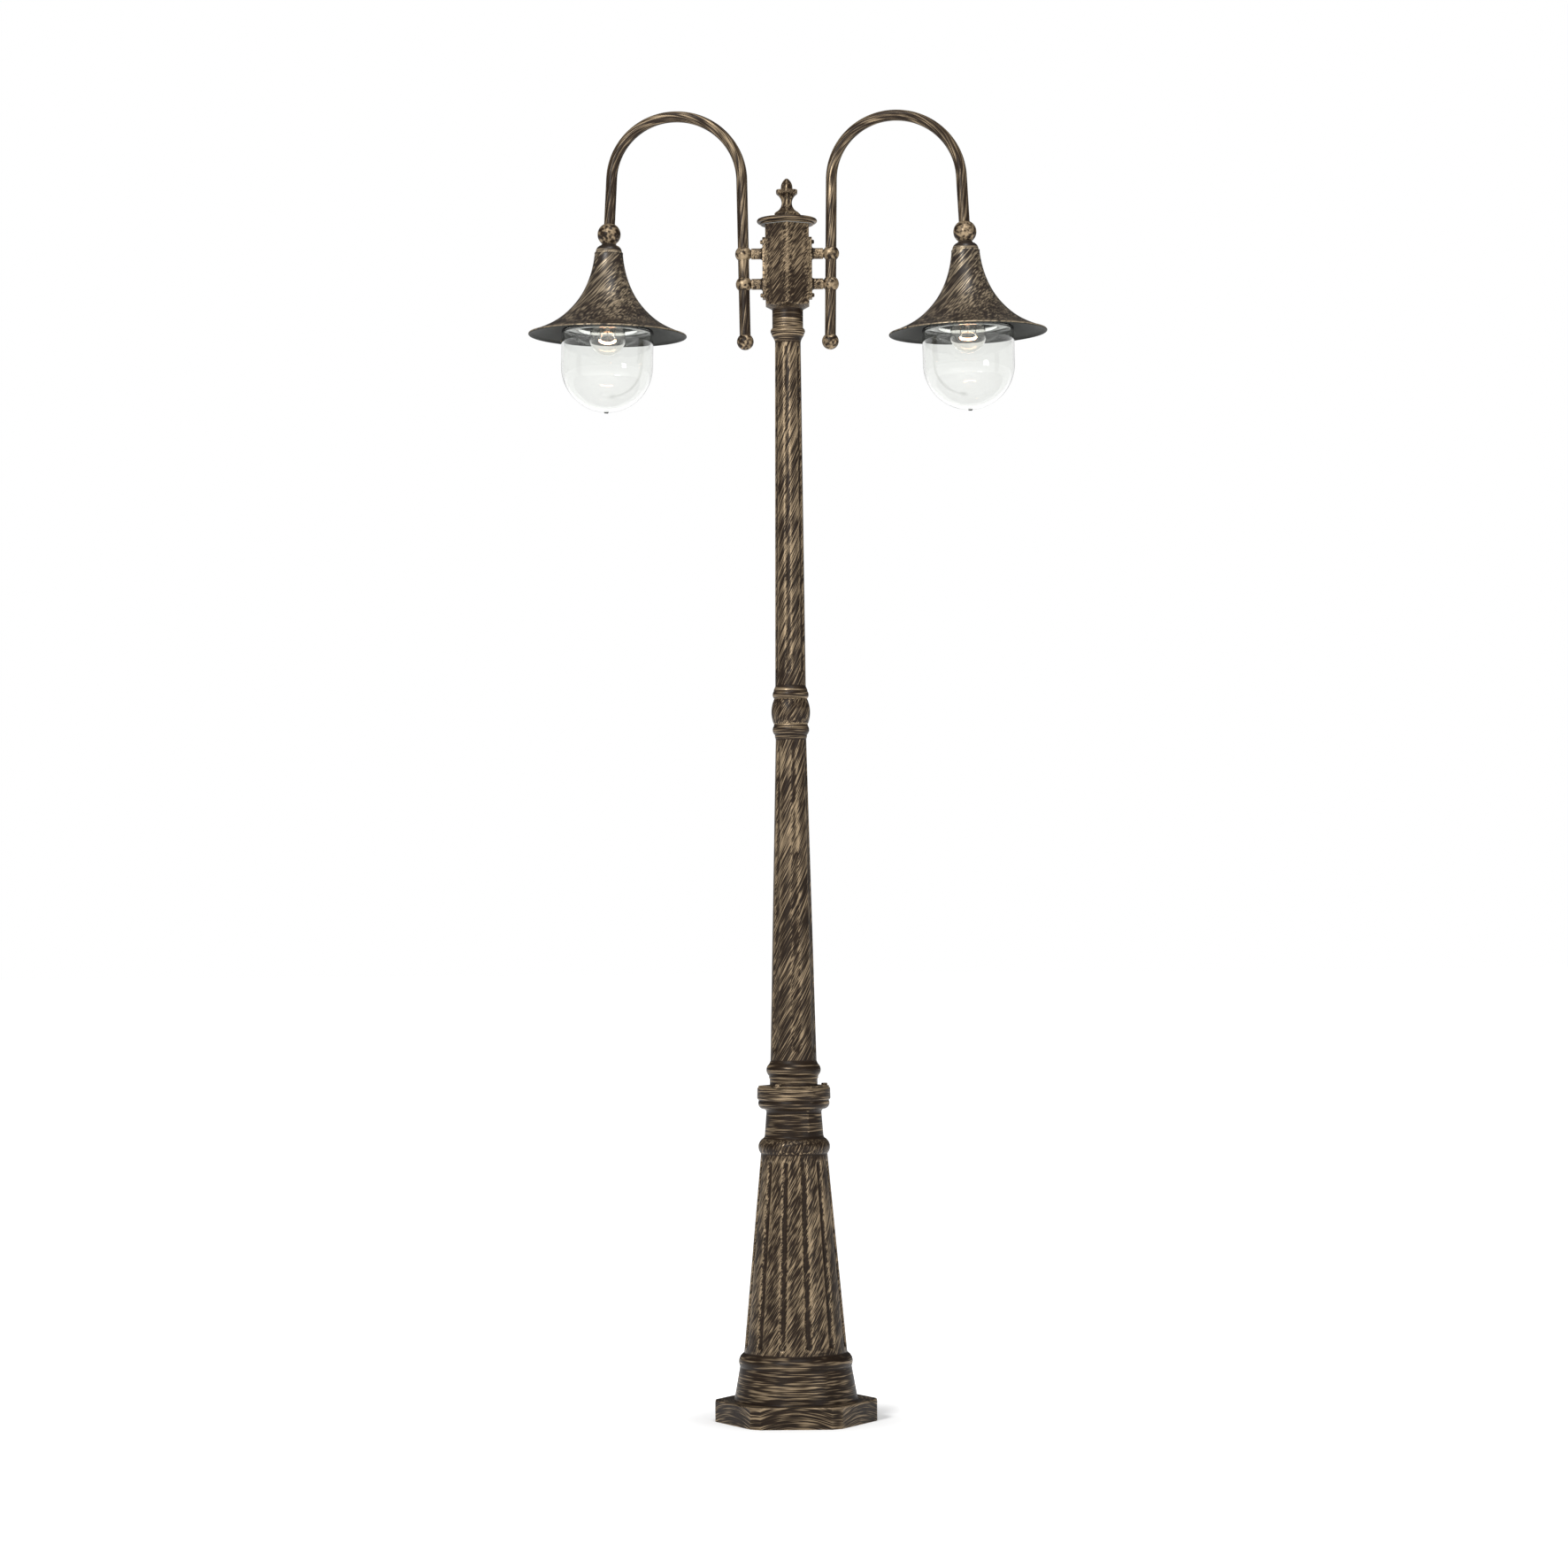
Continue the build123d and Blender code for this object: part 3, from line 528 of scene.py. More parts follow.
def pedestal():
    """Foot plate, skirt, fluted taper, neck and collar disc, in one casting."""
    flutes = Flutes(12, radians(15), (121.0, 83.3, 7.3, 3.5), (424.0, 55.3, 5.5, 3.2))
    outer = outline(
        (90.0, 0.0),
        (PLATE_R, 0.0),
        (PLATE_R, FOOT_TOP - 2.5),
        ((PLATE_R - 0.73, FOOT_TOP - 0.73), (PLATE_R - 2.5, FOOT_TOP)),
        (SKIRT_R, FOOT_TOP),
        (91.0, 89.5),
        ((92.9, 97.5), (84.2, 111.5)),
        (54.3, 434.5),
        ((58.3, 447.5), (49.6, 460.0)),
        (48.0, 463.0),
        (45.1, 500.0),
        ((45.9, 504.8), (48.2, 507.0)),
        ((58.2, 515.5), (57.3, 520.4)),
        (57.3, 521.6),
        (59.9, 524.0),
        (59.5, COLLAR_TOP - 1.5),
        (58.2, COLLAR_TOP),
        (22.0, COLLAR_TOP),
    )
    inner = outline(
        (22.0, 512.0), (38.0, 512.0), (39.0, 468.0), (47.0, 432.0), (76.5, 108.0), (90.0, 28.0), step=60
    )
    bm = hollow(outer, inner, 144)
    on_plate = plate_places()

    def places(r, z):
        if z < FOOT_TOP + 0.01 and r > SKIRT_R + 1:
            return on_plate
        once = flutes.places(r, z)
        return once + [flutes.sector + angle for angle in once]

    slide_columns(bm, 144, 6, 0.0, places)
    for v in bm.verts:
        r, angle = polar(v.co)
        if v.co.z < FOOT_TOP + 0.01 and r > SKIRT_R:
            share = (r - SKIRT_R) / (PLATE_R - SKIRT_R)
            put(v, SKIRT_R + share * (plate_edge(angle) - SKIRT_R), angle, v.co.z)
    flutes.carve(bm)
    parting_line(bm, radians(-60), (40.0, 122.0), (428.0, 538.0))
    climbing = steep(0.0078)
    brushed(bm, lambda p: climbing(p) if 112.0 < p.z < 459.0 else level(p))
    gilded(bm)
    casting("pedestal_casting", bm, ["pedestal"])


def parting_line(bm, angle, *stretches):
    """The seam where the mould's halves met: a low uneven ridge up the side, in two places."""
    for v in bm.verts:
        r, here = polar(v.co)
        on_side = any(low < v.co.z < high for low, high in stretches) and r > 44.0
        if on_side and abs(here - angle) * r < 1.5:
            swell = 0.55 + 0.45 * sin(v.co.z * 0.31) * sin(v.co.z * 0.83)
            put(v, r + 0.9 * swell, here + 0.012 * sin(v.co.z * 0.37), v.co.z)


def hexagon_head(across, high):
    """A bolt's head with its corners turned off, standing on Z = 0."""
    side = (0, 0), (across / 1.8, 0), (across / 1.8, high * 0.8), (across / 2.3, high), (0, high)
    bm = spun(outline(*side, step=2), 36)
    for v in bm.verts:
        r, angle = polar(v.co)
        put(v, min(r, hexagon_r(angle, across / 2)), angle, v.co.z)
    return bm


def moved(bm, matrix):
    bm.transform(matrix)
    return bm


def round_post(count, radius, first=0.0):
    """Matrices that place copies round the post's axis."""
    return [
        Matrix.Rotation(first + 2 * pi * i / count, 4, "Z") @ Matrix.Translation((radius, 0, 0))
        for i in range(count)
    ]


def painted_fixings(name, heads, nodes, ground=0.25):
    """Screw heads that were painted with the post."""
    bm = join(*heads)
    brushed(bm, dabbed)
    gilded(bm, ground)
    casting(name, bm, nodes)


def flange_bolts():
    heads = []
    for place in round_post(3, 50.0):
        stand = place @ Matrix.Translation((0, 0, FLANGE_TOP))
        heads.append(moved(hexagon_head(10.0, 4.0), stand))
        shank = spun(outline((0, -15), (3.0, -15), (3.0, 0.5), (0, 0.5), step=8), 20)
        heads.append(moved(shank, stand))
    painted_fixings("flange_bolt_heads", heads, ["flange_bolts"])


COLUMN_GRID = 72


def column_lower():
    """Fluted taper on a hexagonal flange, with turned mouldings at its foot and head."""
    flutes = Flutes(6, radians(-82), (600.0, 37.34, 10.0, 1.9), (1097.0, 25.26, 4.6, 1.3))
    flange_r = 57.6
    outer = outline(
        (33.0, COLLAR_TOP),
        (flange_r, COLLAR_TOP),
        (flange_r, FLANGE_TOP),
        (39.0, FLANGE_TOP),
        (39.0, 555.5),
        (40.2, 557.5),
        (40.2, 561.0),
        ((44.4, 571.0), (39.8, 580.5)),
        (37.7, 585.5),
        (24.95, 1110.0),
        (26.2, 1114.5),
        (26.2, 1117.4),
        ((29.9, 1125.5), (27.8, 1132.5)),
        (27.7, COUPLING_FOOT),
        (20.0, COUPLING_FOOT),
        soft=0.6,
    )
    inner = outline((20.0, 1060.0), (33.0, 560.0), step=80)
    bm = hollow(outer, inner, COLUMN_GRID)
    lead = radians(8)  # from a flange corner to the middle of the nearest land

    def places(r, z):
        if r > 39.5 and z < FLANGE_TOP + 0.01:
            return [flutes.sector * i / Flutes.COLUMNS - lead for i in range(Flutes.COLUMNS)]
        return flutes.places(r, z)

    slide_columns(bm, COLUMN_GRID, 6, flutes.first - flutes.sector / 2, places)
    for v in bm.verts:
        r, angle = polar(v.co)
        if r > 39.5 and v.co.z < FLANGE_TOP + 0.01:
            edge = min(flange_r, hexagon_r(angle, 58.2 * cos(pi / 6), pi / 6))
            put(v, 39.5 + (r - 39.5) / (flange_r - 39.5) * (edge - 39.5), angle, v.co.z)
    flutes.carve(bm)
    climbing = steep(0.017)
    brushed(bm, lambda p: climbing(p) if 586.0 < p.z < 1111.0 else level(p), 31.0)
    gilded(bm)
    casting("column_lower_casting", bm, ["column_lower"])


def coupling():
    """Barrel knop over the joint."""
    foot, top = COUPLING_FOOT, COUPLING_TOP
    outer = outline((20.0, foot), (27.7, foot), ((31.6, 1156.0), (27.1, top - 0.6)), (26.6, top), (20.0, top))
    bm = hollow(outer, [(20.0, (foot + top) / 2)], COLUMN_GRID)
    brushed(bm, steep(0.02), 57.0)
    gilded(bm)
    casting("coupling_knop", bm, ["coupling"])


def column_upper():
    """Slimmer fluted taper with a foot bead and a flared capital."""
    flutes = Flutes(6, radians(-96), (1219.0, 24.79, 5.4, 1.4), (1755.0, 21.0, 4.8, 1.3))
    outer = outline(
        (20.0, COUPLING_TOP),
        (27.2, COUPLING_TOP),
        ((29.5, 1182.5), (27.7, 1189.0)),
        (27.5, 1191.5),
        (24.95, 1197.0),
        (20.95, 1762.0),
        ((22.6, 1767.5), (26.2, 1773.0)),
        (26.5, 1775.8),
        ((28.3, 1781.0), (25.4, CAPITAL_TOP)),
        (19.0, CAPITAL_TOP),
        (19.0, 1812.0),
        (14.5, 1812.0),
        soft=0.6,
    )
    inner = outline((16.5, 1300.0), (20.0, 1250.0), step=80)
    bm = hollow(outer, inner, COLUMN_GRID)
    slide_columns(bm, COLUMN_GRID, 6, flutes.first - flutes.sector / 2, flutes.places)
    flutes.carve(bm)
    climbing = steep(0.02)
    brushed(bm, lambda p: climbing(p) if 1197.0 < p.z < 1763.0 else level(p), 83.0)
    gilded(bm)
    casting("column_upper_casting", bm, ["column_upper"])


# ------------------------------------------------------------------ the head
BOX_COLUMNS = 14


def box_places():
    """Columns across one side of the box, close beside its upright edges, as angles from the edge."""
    half = BOX_FLAT * tan(pi / 6)
    across = [0, 0.7, 2.4, 5.5, 9.5, 14.0, 18.0]
    near = [pi / 6 - atan2(half - distance, BOX_FLAT) for distance in across]
    return near + [pi / 6] + [pi / 3 - angle for angle in reversed(near[1:])]


def head_box():
    """Hexagonal box on a round neck, an upright edge to the front, its foot turned to a cone."""
    neck_top, cone_foot, cone_r, cone_top = 1815.0, 1816.5, 26.0, 1825.0
    wide = 42.0
    slant = (cone_top - cone_foot) / (wide - cone_r)
    outer = outline(
        (19.2, CAPITAL_TOP),
        (25.2, CAPITAL_TOP),
        (25.2, neck_top),
        (cone_r, cone_foot),
        (wide, cone_top),
        (wide, BOX_TOP),
        (30.5, BOX_TOP),
        soft=0.5,
    )
    inner = outline((30.5, 1830.0), (19.2, 1826.0), step=60)
    bm = hollow(outer, inner, 6 * BOX_COLUMNS)
    sides = box_places()
    slide_columns(bm, 6 * BOX_COLUMNS, 6, radians(-90), lambda r, z: sides)
    for v in bm.verts:
        r, angle = polar(v.co)
        z = v.co.z
        if z < cone_foot or r < cone_r + 0.01:
            continue
        side = hexagon_r(angle, BOX_FLAT)
        side = min(side, 2 * BOX_FLAT / sqrt(3) - 0.35)
        foot = cone_foot + (side - cone_r) * slant
        if z > cone_top - 0.01 and r > wide - 1.0:
            share = (z - cone_top) / (BOX_TOP - cone_top)
            put(v, side - (wide - r), angle, foot + max(0.0, share) * (BOX_TOP - foot))
        elif z > BOX_TOP - 1:
            put(v, 30.5 + (r - 30.5) / (wide - 30.5) * (side - 30.5), angle, z)
        elif r > cone_r:
            share = (r - cone_r) / (wide - cone_r)
            put(v, cone_r + share * (side - cone_r), angle, cone_foot + share * (foot - cone_foot))
    climbing = steep(0.024)
    brushed(bm, lambda p: climbing(p) if p.z > neck_top + 3 else level(p), 12.0)
    gilded(bm, 0.06)
    casting("head_box_casting", bm, ["head_box"], sharp=28)


def head_cap():
    """Stepped round lid with a rolled edge."""
    points = outline(
        (0, CAP_FOOT),
        (43.4, CAP_FOOT),
        (44.0, CAP_FOOT + 0.6),
        (44.0, CAP_FOOT + 2.7),
        (47.0, CAP_FOOT + 2.7),
        ((49.5, CAP_TOP - 3.5), (47.0, CAP_TOP - 0.2)),
        (44.5, CAP_TOP),
        (0, CAP_TOP),
        soft=0.5,
    )
    bm = spun(points, 96)
    brushed(bm, level, 5.0)
    gilded(bm)
    casting("head_cap_lid", bm, ["head_cap"])


def finial():
    """Six-sided bud on a waisted stem."""
    points = outline(
        (0, CAP_TOP),
        (20.2, CAP_TOP),
        (20.2, 1973.8),
        (18.2, 1976.0),
        ((8.4, 1992.5), (16.2, 2007.0)),
        (17.5, 2009.0),
        (17.5, 2012.0),
        (16.2, 2013.4),
        (9.5, 2014.4),
        ((8.2, 2023.5), (1.5, FINIAL_TOP)),
        (0, FINIAL_TOP),
        step=1.4,
        soft=0.5,
    )
    bm = spun(points, 72)
    for v in bm.verts:
        r, angle = polar(v.co)
        edge = min(hexagon_r(angle, r), r * 1.13)
        put(v, edge, angle, v.co.z)
    brushed(bm, steep(0.03), 44.0)
    gilded(bm, 0.1)
    casting("finial_bud", bm, ["finial"], sharp=30)


def button_head(radius, high):
    """A low domed screw head with a hexagon socket, standing on Z = 0."""
    socket = radius * 0.42
    points = outline(
        (0, -0.3),
        (radius, -0.3),
        (radius, high * 0.35),
        ((radius * 0.87, high * 0.78), (socket * 1.35, high)),
        (socket, high - 0.15),
        (socket * 0.9, high * 0.45),
        (0, high * 0.45),
        step=0.8,
        soft=0.25,
    )
    bm = spun(points, 36)
    for v in bm.verts:
        r, angle = polar(v.co)
        if r <= socket * 1.01 and v.co.z > 0:
            put(v, min(r, hexagon_r(angle, r * 0.9)), angle, v.co.z)
    return bm


def cap_screws():
    places = (19.5, -22.0), (-19.5, 22.0)
    heads = [moved(button_head(3.1, 5.2), Matrix.Translation((x, y, CAP_TOP))) for x, y in places]
    painted_fixings("cap_screw_heads", heads, ["cap_screws"])


BRACKET_SCREW_LEVELS = 1928.0, 1840.0


def bracket_screws():
    heads = []
    for turn in SIDES.values():
        for height in BRACKET_SCREW_LEVELS:
            face = Matrix.Translation((PLATE_LOW.x + 5.0, 0, height)) @ Matrix.Rotation(pi / 2, 4, "Y")
            heads.append(moved(button_head(3.5, 3.7), Matrix.Rotation(turn, 4, "Z") @ face))
    painted_fixings("bracket_screw_heads", heads, ["bracket_screws"], 0.35)


def set_screws():
    heads = []
    for turn in SIDES.values():
        for height in SOCKET_LEVELS:
            side = Matrix.Translation((50.0, -ARM_R + 0.4, height)) @ Matrix.Rotation(pi / 2, 4, "X")
            heads.append(moved(button_head(4.0, 3.4), Matrix.Rotation(turn, 4, "Z") @ side))
    painted_fixings("set_screw_heads", heads, ["set_screws"], 0.3)


# ------------------------------------------------------------------ the arms
def face_plate():
    """Rounded plate with a chamfered front, lying on Z = 0 with its length along X."""
    long, wide, thick = PLATE_HIGH.z - PLATE_LOW.z, PLATE_HIGH.y - PLATE_LOW.y, 5.0
    bm = bmesh.new()
    area = Matrix.Diagonal((long, wide, 1, 1))
    bmesh.ops.create_grid(bm, x_segments=1, y_segments=1, size=0.5, matrix=area)
    even = {"offset_type": "OFFSET", "profile": 0.5, "material": -1}
    bmesh.ops.bevel(bm, geom=bm.verts[:], offset=9, affect="VERTICES", segments=6, **even)
    top = bmesh.ops.extrude_face_region(bm, geom=bm.faces[:], use_keep_orig=True)["geom"]
    bmesh.ops.translate(bm, vec=(0, 0, thick), verts=[v for v in top if isinstance(v, bmesh.types.BMVert)])
    rim = [e for e in bm.edges if all(v.co.z > thick - 0.1 for v in e.verts)]
    bmesh.ops.bevel(bm, geom=rim, offset=1.2, affect="EDGES", segments=2, **even)
    bmesh.ops.recalc_face_normals(bm, faces=bm.faces)
    front = max(bm.faces, key=lambda face: face.calc_area() * face.normal.z)
    bmesh.ops.inset_region(bm, faces=[front], thickness=2.5)
    return bm


def bracket_plate(side, turn):
    """Face plate against the box, with two socket tubes."""
    back = PLATE_LOW.x
    stand = Matrix.Translation((back, 0, (PLATE_LOW.z + PLATE_HIGH.z) / 2)) @ Matrix.Rotation(pi / 2, 4, "Y")
    bm = moved(face_plate(), stand)
    reach = PLATE_HIGH.x
    for height in SOCKET_LEVELS:
        socket = outline(
            (0, back + 4.5),
            (12.0, back + 4.5),
            ((9.8, back + 6.2), (ARM_R, back + 9.0)),
            (ARM_R, reach),
            (ARM_BORE_R, reach),
            (ARM_BORE_R, back + 7.0),
            (0, back + 7.0),
            soft=0.6,
        )
        along = Matrix.Translation((0, 0, height)) @ Matrix.Rotation(pi / 2, 4, "Y")
        join(bm, moved(spun(socket, 40), along))
    brushed(bm, steep(0.02), 9.0 + turn)
    gilded(bm, 0.12)
    gilt = bm.verts.layers.float["gilt"]
    for v in bm.verts:
        v[gilt] += 0.5 * ease(v.co.x, 41.0, 44.0)
    moved(bm, Matrix.Rotation(turn, 4, "Z"))
    casting(f"bracket_{side}_casting", bm, [f"bracket_plate_{side}"], sharp=30)


def leg_x(height):
    return ARM_FOOT.x + (height - ARM_FOOT.z) * tan(INNER_LEAN)


def clamp(side, turn, row):
    """Ball that grips the arm, on a stem that goes into a socket tube."""
    height = SOCKET_LEVELS[("upper", "lower").index(row)]
    centre, ball_r, stem_r = leg_x(height), 13.5, 6.9
    meet = centre - sqrt(ball_r**2 - stem_r**2)
    stem = (0, 46.0), (stem_r, 46.0), (stem_r, meet)
    points = outline(*stem, ((ball_r, centre), (0, centre + ball_r)), step=1.6)
    bm = moved(spun(points, 48), Matrix.Translation((0, 0, height)) @ Matrix.Rotation(pi / 2, 4, "Y"))
    brushed(bm, dabbed, turn)
    gilded(bm, 0.75)
    moved(bm, Matrix.Rotation(turn, 4, "Z"))
    casting(f"clamp_{row}_{side}_ball", bm, [f"clamp_{row}_{side}"])


def ball(radius, cut_low=0.0, cut_high=0.0):
    """A ball about the origin with flats cut off its poles at these radii."""
    low = (cut_low, -sqrt(radius**2 - cut_low**2))
    high = (cut_high, sqrt(radius**2 - cut_high**2))
    around = outline(low, ((radius, 0.0), high), step=1.6)
    return spun([(0, low[1])] * (cut_low > 0) + around + [(0, high[1])] * (cut_high > 0), 48)


def end_ball(side, turn):
    bm = moved(ball(13.75), Matrix.Translation(ARM_FOOT))
    brushed(bm, dabbed, 3.0 + turn)
    gilded(bm, 0.75)
    moved(bm, Matrix.Rotation(turn, 4, "Z"))
    casting(f"arm_end_{side}_ball", bm, [f"end_ball_{side}"])


def route(stops, radius):
    """The arm's line through (x, z) corners as runs of (length, start, heading, curvature)."""
    runs, here = [], Vector(stops[0])
    for corner, after in zip(stops[1:], stops[2:]):
        ahead, beyond = Vector(corner) - here, Vector(after) - Vector(corner)
        heading, leaving = atan2(ahead.y, ahead.x), atan2(beyond.y, beyond.x)
        cut = radius * tan(abs(leaving - heading) / 2)
        straight_length = ahead.length - cut
        runs.append((straight_length, here, heading, 0.0))
        bend = here + ahead.normalized() * straight_length
        runs.append((abs(leaving - heading) * radius, bend, heading, copysign(1 / radius, leaving - heading)))
        here = Vector(corner) + beyond.normalized() * cut
    last = Vector(stops[-1]) - here
    return runs + [(last.length, here, atan2(last.y, last.x), 0.0)]


def along(runs, length):
    """The place and heading at a length along a route."""
    for run, start, heading, curve in runs:
        if length <= run or (run, start, heading, curve) == runs[-1]:
            break
        length -= run
    if curve == 0.0:
        return start + Vector((cos(heading), sin(heading))) * length, heading
    after = heading + curve * length
    return start + Vector((sin(after) - sin(heading), cos(heading) - cos(after))) / curve, after


def arm(side, turn):
    """Tube bent into a hook: up from the lower ball, over, and down into the knuckle."""
    stops = (
        (ARM_FOOT.x, ARM_FOOT.z),
        (leg_x(ARM_CROWN), ARM_CROWN),
        (OUTER_X, ARM_CROWN),
        (KNUCKLE.x, KNUCKLE.z),
    )
    runs = route(stops, ARM_BEND_R)
    whole = sum(run[0] for run in runs)
    outer = outline((ARM_BORE_R, 0.0), (ARM_R, 0.0), (ARM_R, whole), (ARM_BORE_R, whole), step=5.0)
    inner = outline((ARM_BORE_R, whole - 5.0), (ARM_BORE_R, 5.0), step=5.0)
    bm = hollow(outer, inner, 32)
    brushed(bm, steep(0.014), 21.0 + turn)
    gilded(bm, 0.1)
    for v in bm.verts:
        place, heading = along(runs, v.co.z)
        across = Vector((sin(heading), 0, -cos(heading))) * v.co.x
        v.co = Vector((place.x, v.co.y, place.y)) + across
    moved(bm, Matrix.Rotation(turn, 4, "Z"))
    finished(f"arm_{side}_tube", bm, "post", [f"arm_{side}"], [TUBING])


# ------------------------------------------------------------------ the lanterns
def hung(turn):
    """From a plumb lantern on the Z axis to its place: leaned outward about the knuckle's middle."""
    lean = Matrix.Rotation(-LANTERN_LEAN, 4, "Y") @ Matrix.Translation((0, 0, -KNUCKLE.z))
    return Matrix.Rotation(turn, 4, "Z") @ Matrix.Translation((KNUCKLE.x, 0, KNUCKLE.z)) @ lean


def knuckle(side, turn):
    bm = moved(ball(KNUCKLE_R, 9.0, 9.2), Matrix.Translation((0, 0, KNUCKLE.z)))
    brushed(bm, dabbed, 7.0 + turn)
    gilded(bm, 0.7)
    moved(bm, hung(turn))
    casting(f"knuckle_{side}_ball", bm, [f"knuckle_{side}"])


def shade_cap(side, turn):
    """Small dome between the knuckle and the shade's crown."""
    seat = KNUCKLE.z - sqrt(KNUCKLE_R**2 - 11.0**2)
    points = outline(
        (5.1, 1913.3),
        (21.4, 1913.3),
        (21.4, 1914.6),
        ((18.6, 1920.9), (13.2, 1924.2)),
        (11.0, seat + 0.4),
        (5.1, seat - 2.0),
        step=1.2,
        soft=0.5,
    )
    bm = spun(points, 64, closed=True)
    brushed(bm, level, 2.0 + turn)
    gilded(bm, 0.12)
    moved(bm, hung(turn))
    finished(f"shade_cap_{side}_dome", bm, "post", [f"shade_cap_{side}"], [SHEET])


SHADE_WALL = 1.5
SHADE_STOPS = ((22.6, 1908.5), (28.8, 1876.0), (44.2, 1840.3), (76.6, 1803.7), (127.4, 1777.3))
SHADE_START, SHADE_END = Vector((0.1, -1.0)), Vector((1.0, -0.36))


def shade_line(step):
    """The shade's trumpet: a smooth curve through its stops, upright at the crown and flaring at the rim."""
    stops = [Vector(stop) for stop in SHADE_STOPS]
    ways = [SHADE_START.normalized()]
    for before, here, after in zip(stops, stops[1:], stops[2:]):
        one, two = (here - before).length, (after - here).length
        ways.append(((here - before) / one * two + (after - here) / two * one) / (one + two))
    ways.append(SHADE_END.normalized())
    points = [stops[0]]
    for start, end, way_in, way_out in zip(stops, stops[1:], ways, ways[1:]):
        gap = (end - start).length
        count = ceil(gap / step)
        for i in range(1, count + 1):
            t = i / count
            points.append(
                start * (2 * t**3 - 3 * t**2 + 1)
                + way_in * gap * (t**3 - 2 * t**2 + t)
                + end * (3 * t**2 - 2 * t**3)
                + way_out * gap * (t**3 - t**2)
            )
    return points


def offset(points, distance):
    """A chain moved sideways, to its left."""
    moved_points = []
    for i, here in enumerate(points):
        way = points[min(i + 1, len(points) - 1)] - points[max(i - 1, 0)]
        left = Vector((-way.y, way.x)).normalized()
        moved_points.append(tuple(here + left * distance))
    return moved_points


def shade(side, turn):
    """Spun trumpet with a closed crown and a rolled lip. The faces turned inward or down have their own dark
    paint, darkened as painted shade.
    """
    crown = 1913.3
    line = shade_line(3.0)
    outside, inside = offset(line, SHADE_WALL / 2), offset(line, -SHADE_WALL / 2)
    lip = Vector((128.0, 1776.4))
    rolled = arc(outside[-1], (lip.x + 2.0, lip.y), (lip.x - 1.2, lip.y - 1.6), 0.8)
    top = outline((5.1, crown), (21.6, crown), ((22.9, crown - 0.7), (23.3, crown - 3.0)), step=1.5)
    under = outline((21.8, crown - 3.2), (5.1, crown - SHADE_WALL), step=4.0)
    bm = spun(top + outside + rolled + inside[-2::-1] + under, 128, closed=True)
    bm.normal_update()
    # faces turned inward or down take the dark inside paint, which carries painted shade
    for face in bm.faces:
        centre = face.calc_center_median()
        facing_in = face.normal.x * centre.x + face.normal.y * centre.y < 0
        face.material_index = int((facing_in or face.normal.z < -0.2) and centre.z < crown - 1.0)
    brushed(bm, slanted(-1 if turn else 1), 66.0 + turn)
    gilded(bm, 0.1)
    gilt = bm.verts.layers.float["gilt"]
    for v in bm.verts:
        v[gilt] -= 0.5 * ease(hypot(v.co.x, v.co.y), 55.0, 110.0) * (v.co.z > lip.y + 2.5)
    moved(bm, hung(turn))
    name = f"shade_{side}_trumpet"
    finished(name, bm, "post", [f"shade_{side}"], [SHEET, INSIDE_PAINT_WITH_PAINTED_SHADE], sharp=50)


GLOBE_R, GLOBE_NECK_R, GLOBE_WALL = 75.5, 52.0, 3.5
GLOBE_NECK_TOP, GLOBE_SHOULDER, GLOBE_WAIST = 1812.0, 1786.0, 1725.0


def jar(inset, corner):
    """The globe's side from its lowest point up to the rim, at a depth into the glass."""
    wall, neck = GLOBE_R - inset, GLOBE_NECK_R - inset
    shoulder = GLOBE_SHOULDER - inset
    bend = corner * (1 - sqrt(0.5))
    return outline(
        (0, GLOBE_WAIST - wall),
        ((wall * sqrt(0.5), GLOBE_WAIST - wall * sqrt(0.5)), (wall, GLOBE_WAIST)),
        (wall, shoulder - corner),
        ((wall - bend, shoulder - bend), (wall - corner, shoulder)),
        (neck + corner, shoulder),
        ((neck + bend, shoulder + bend), (neck, shoulder + corner)),
        (neck, GLOBE_NECK_TOP),
        step=2.5,
        soft=0.0,
    )


def globe(side, turn):
    """Blown jar with a neck for the gallery, a shoulder and a round bottom with a small pip."""
    outside, inside = jar(0.0, 5.0), jar(GLOBE_WALL, 4.0)
    lowest = GLOBE_WAIST - GLOBE_R
    pip = outline(
        (0, lowest - 2), (2.6, lowest - 2), (3.7, lowest - 0.6), (3.7, lowest + 0.05), step=0.8, soft=0.3
    )
    side_points = [point for point in outside if point[0] > 4.5]
    bm = spun(pip + side_points + list(reversed(inside)), 96)
    moved(bm, hung(turn))
    body = f"globe_{side}"
    finished(f"{body}_jar", bm, body, [body], [GLOBE_GLASS], sharp=60)


BULB_R, BULB_MIDDLE, BULB_NECK = 30.0, 1772.0, 1821.0
COIL_END, COIL_TOP = 12.6, 1768.0  # where the filament hangs from its lead wires


def envelope(inset):
    """The bulb's side from its lowest point to its neck, at a depth into the glass."""
    ball_r, neck = BULB_R - inset, 12.9 - inset
    turn = radians(38)
    meet = (ball_r * cos(turn), BULB_MIDDLE + ball_r * sin(turn))
    return outline(
        (0, BULB_MIDDLE - ball_r),
        ((ball_r * cos(-turn / 2), BULB_MIDDLE + ball_r * sin(-turn / 2)), meet),
        ((15.6 - inset, 1805.0), (neck, BULB_NECK)),
        step=1.8,
        soft=0.0,
    )


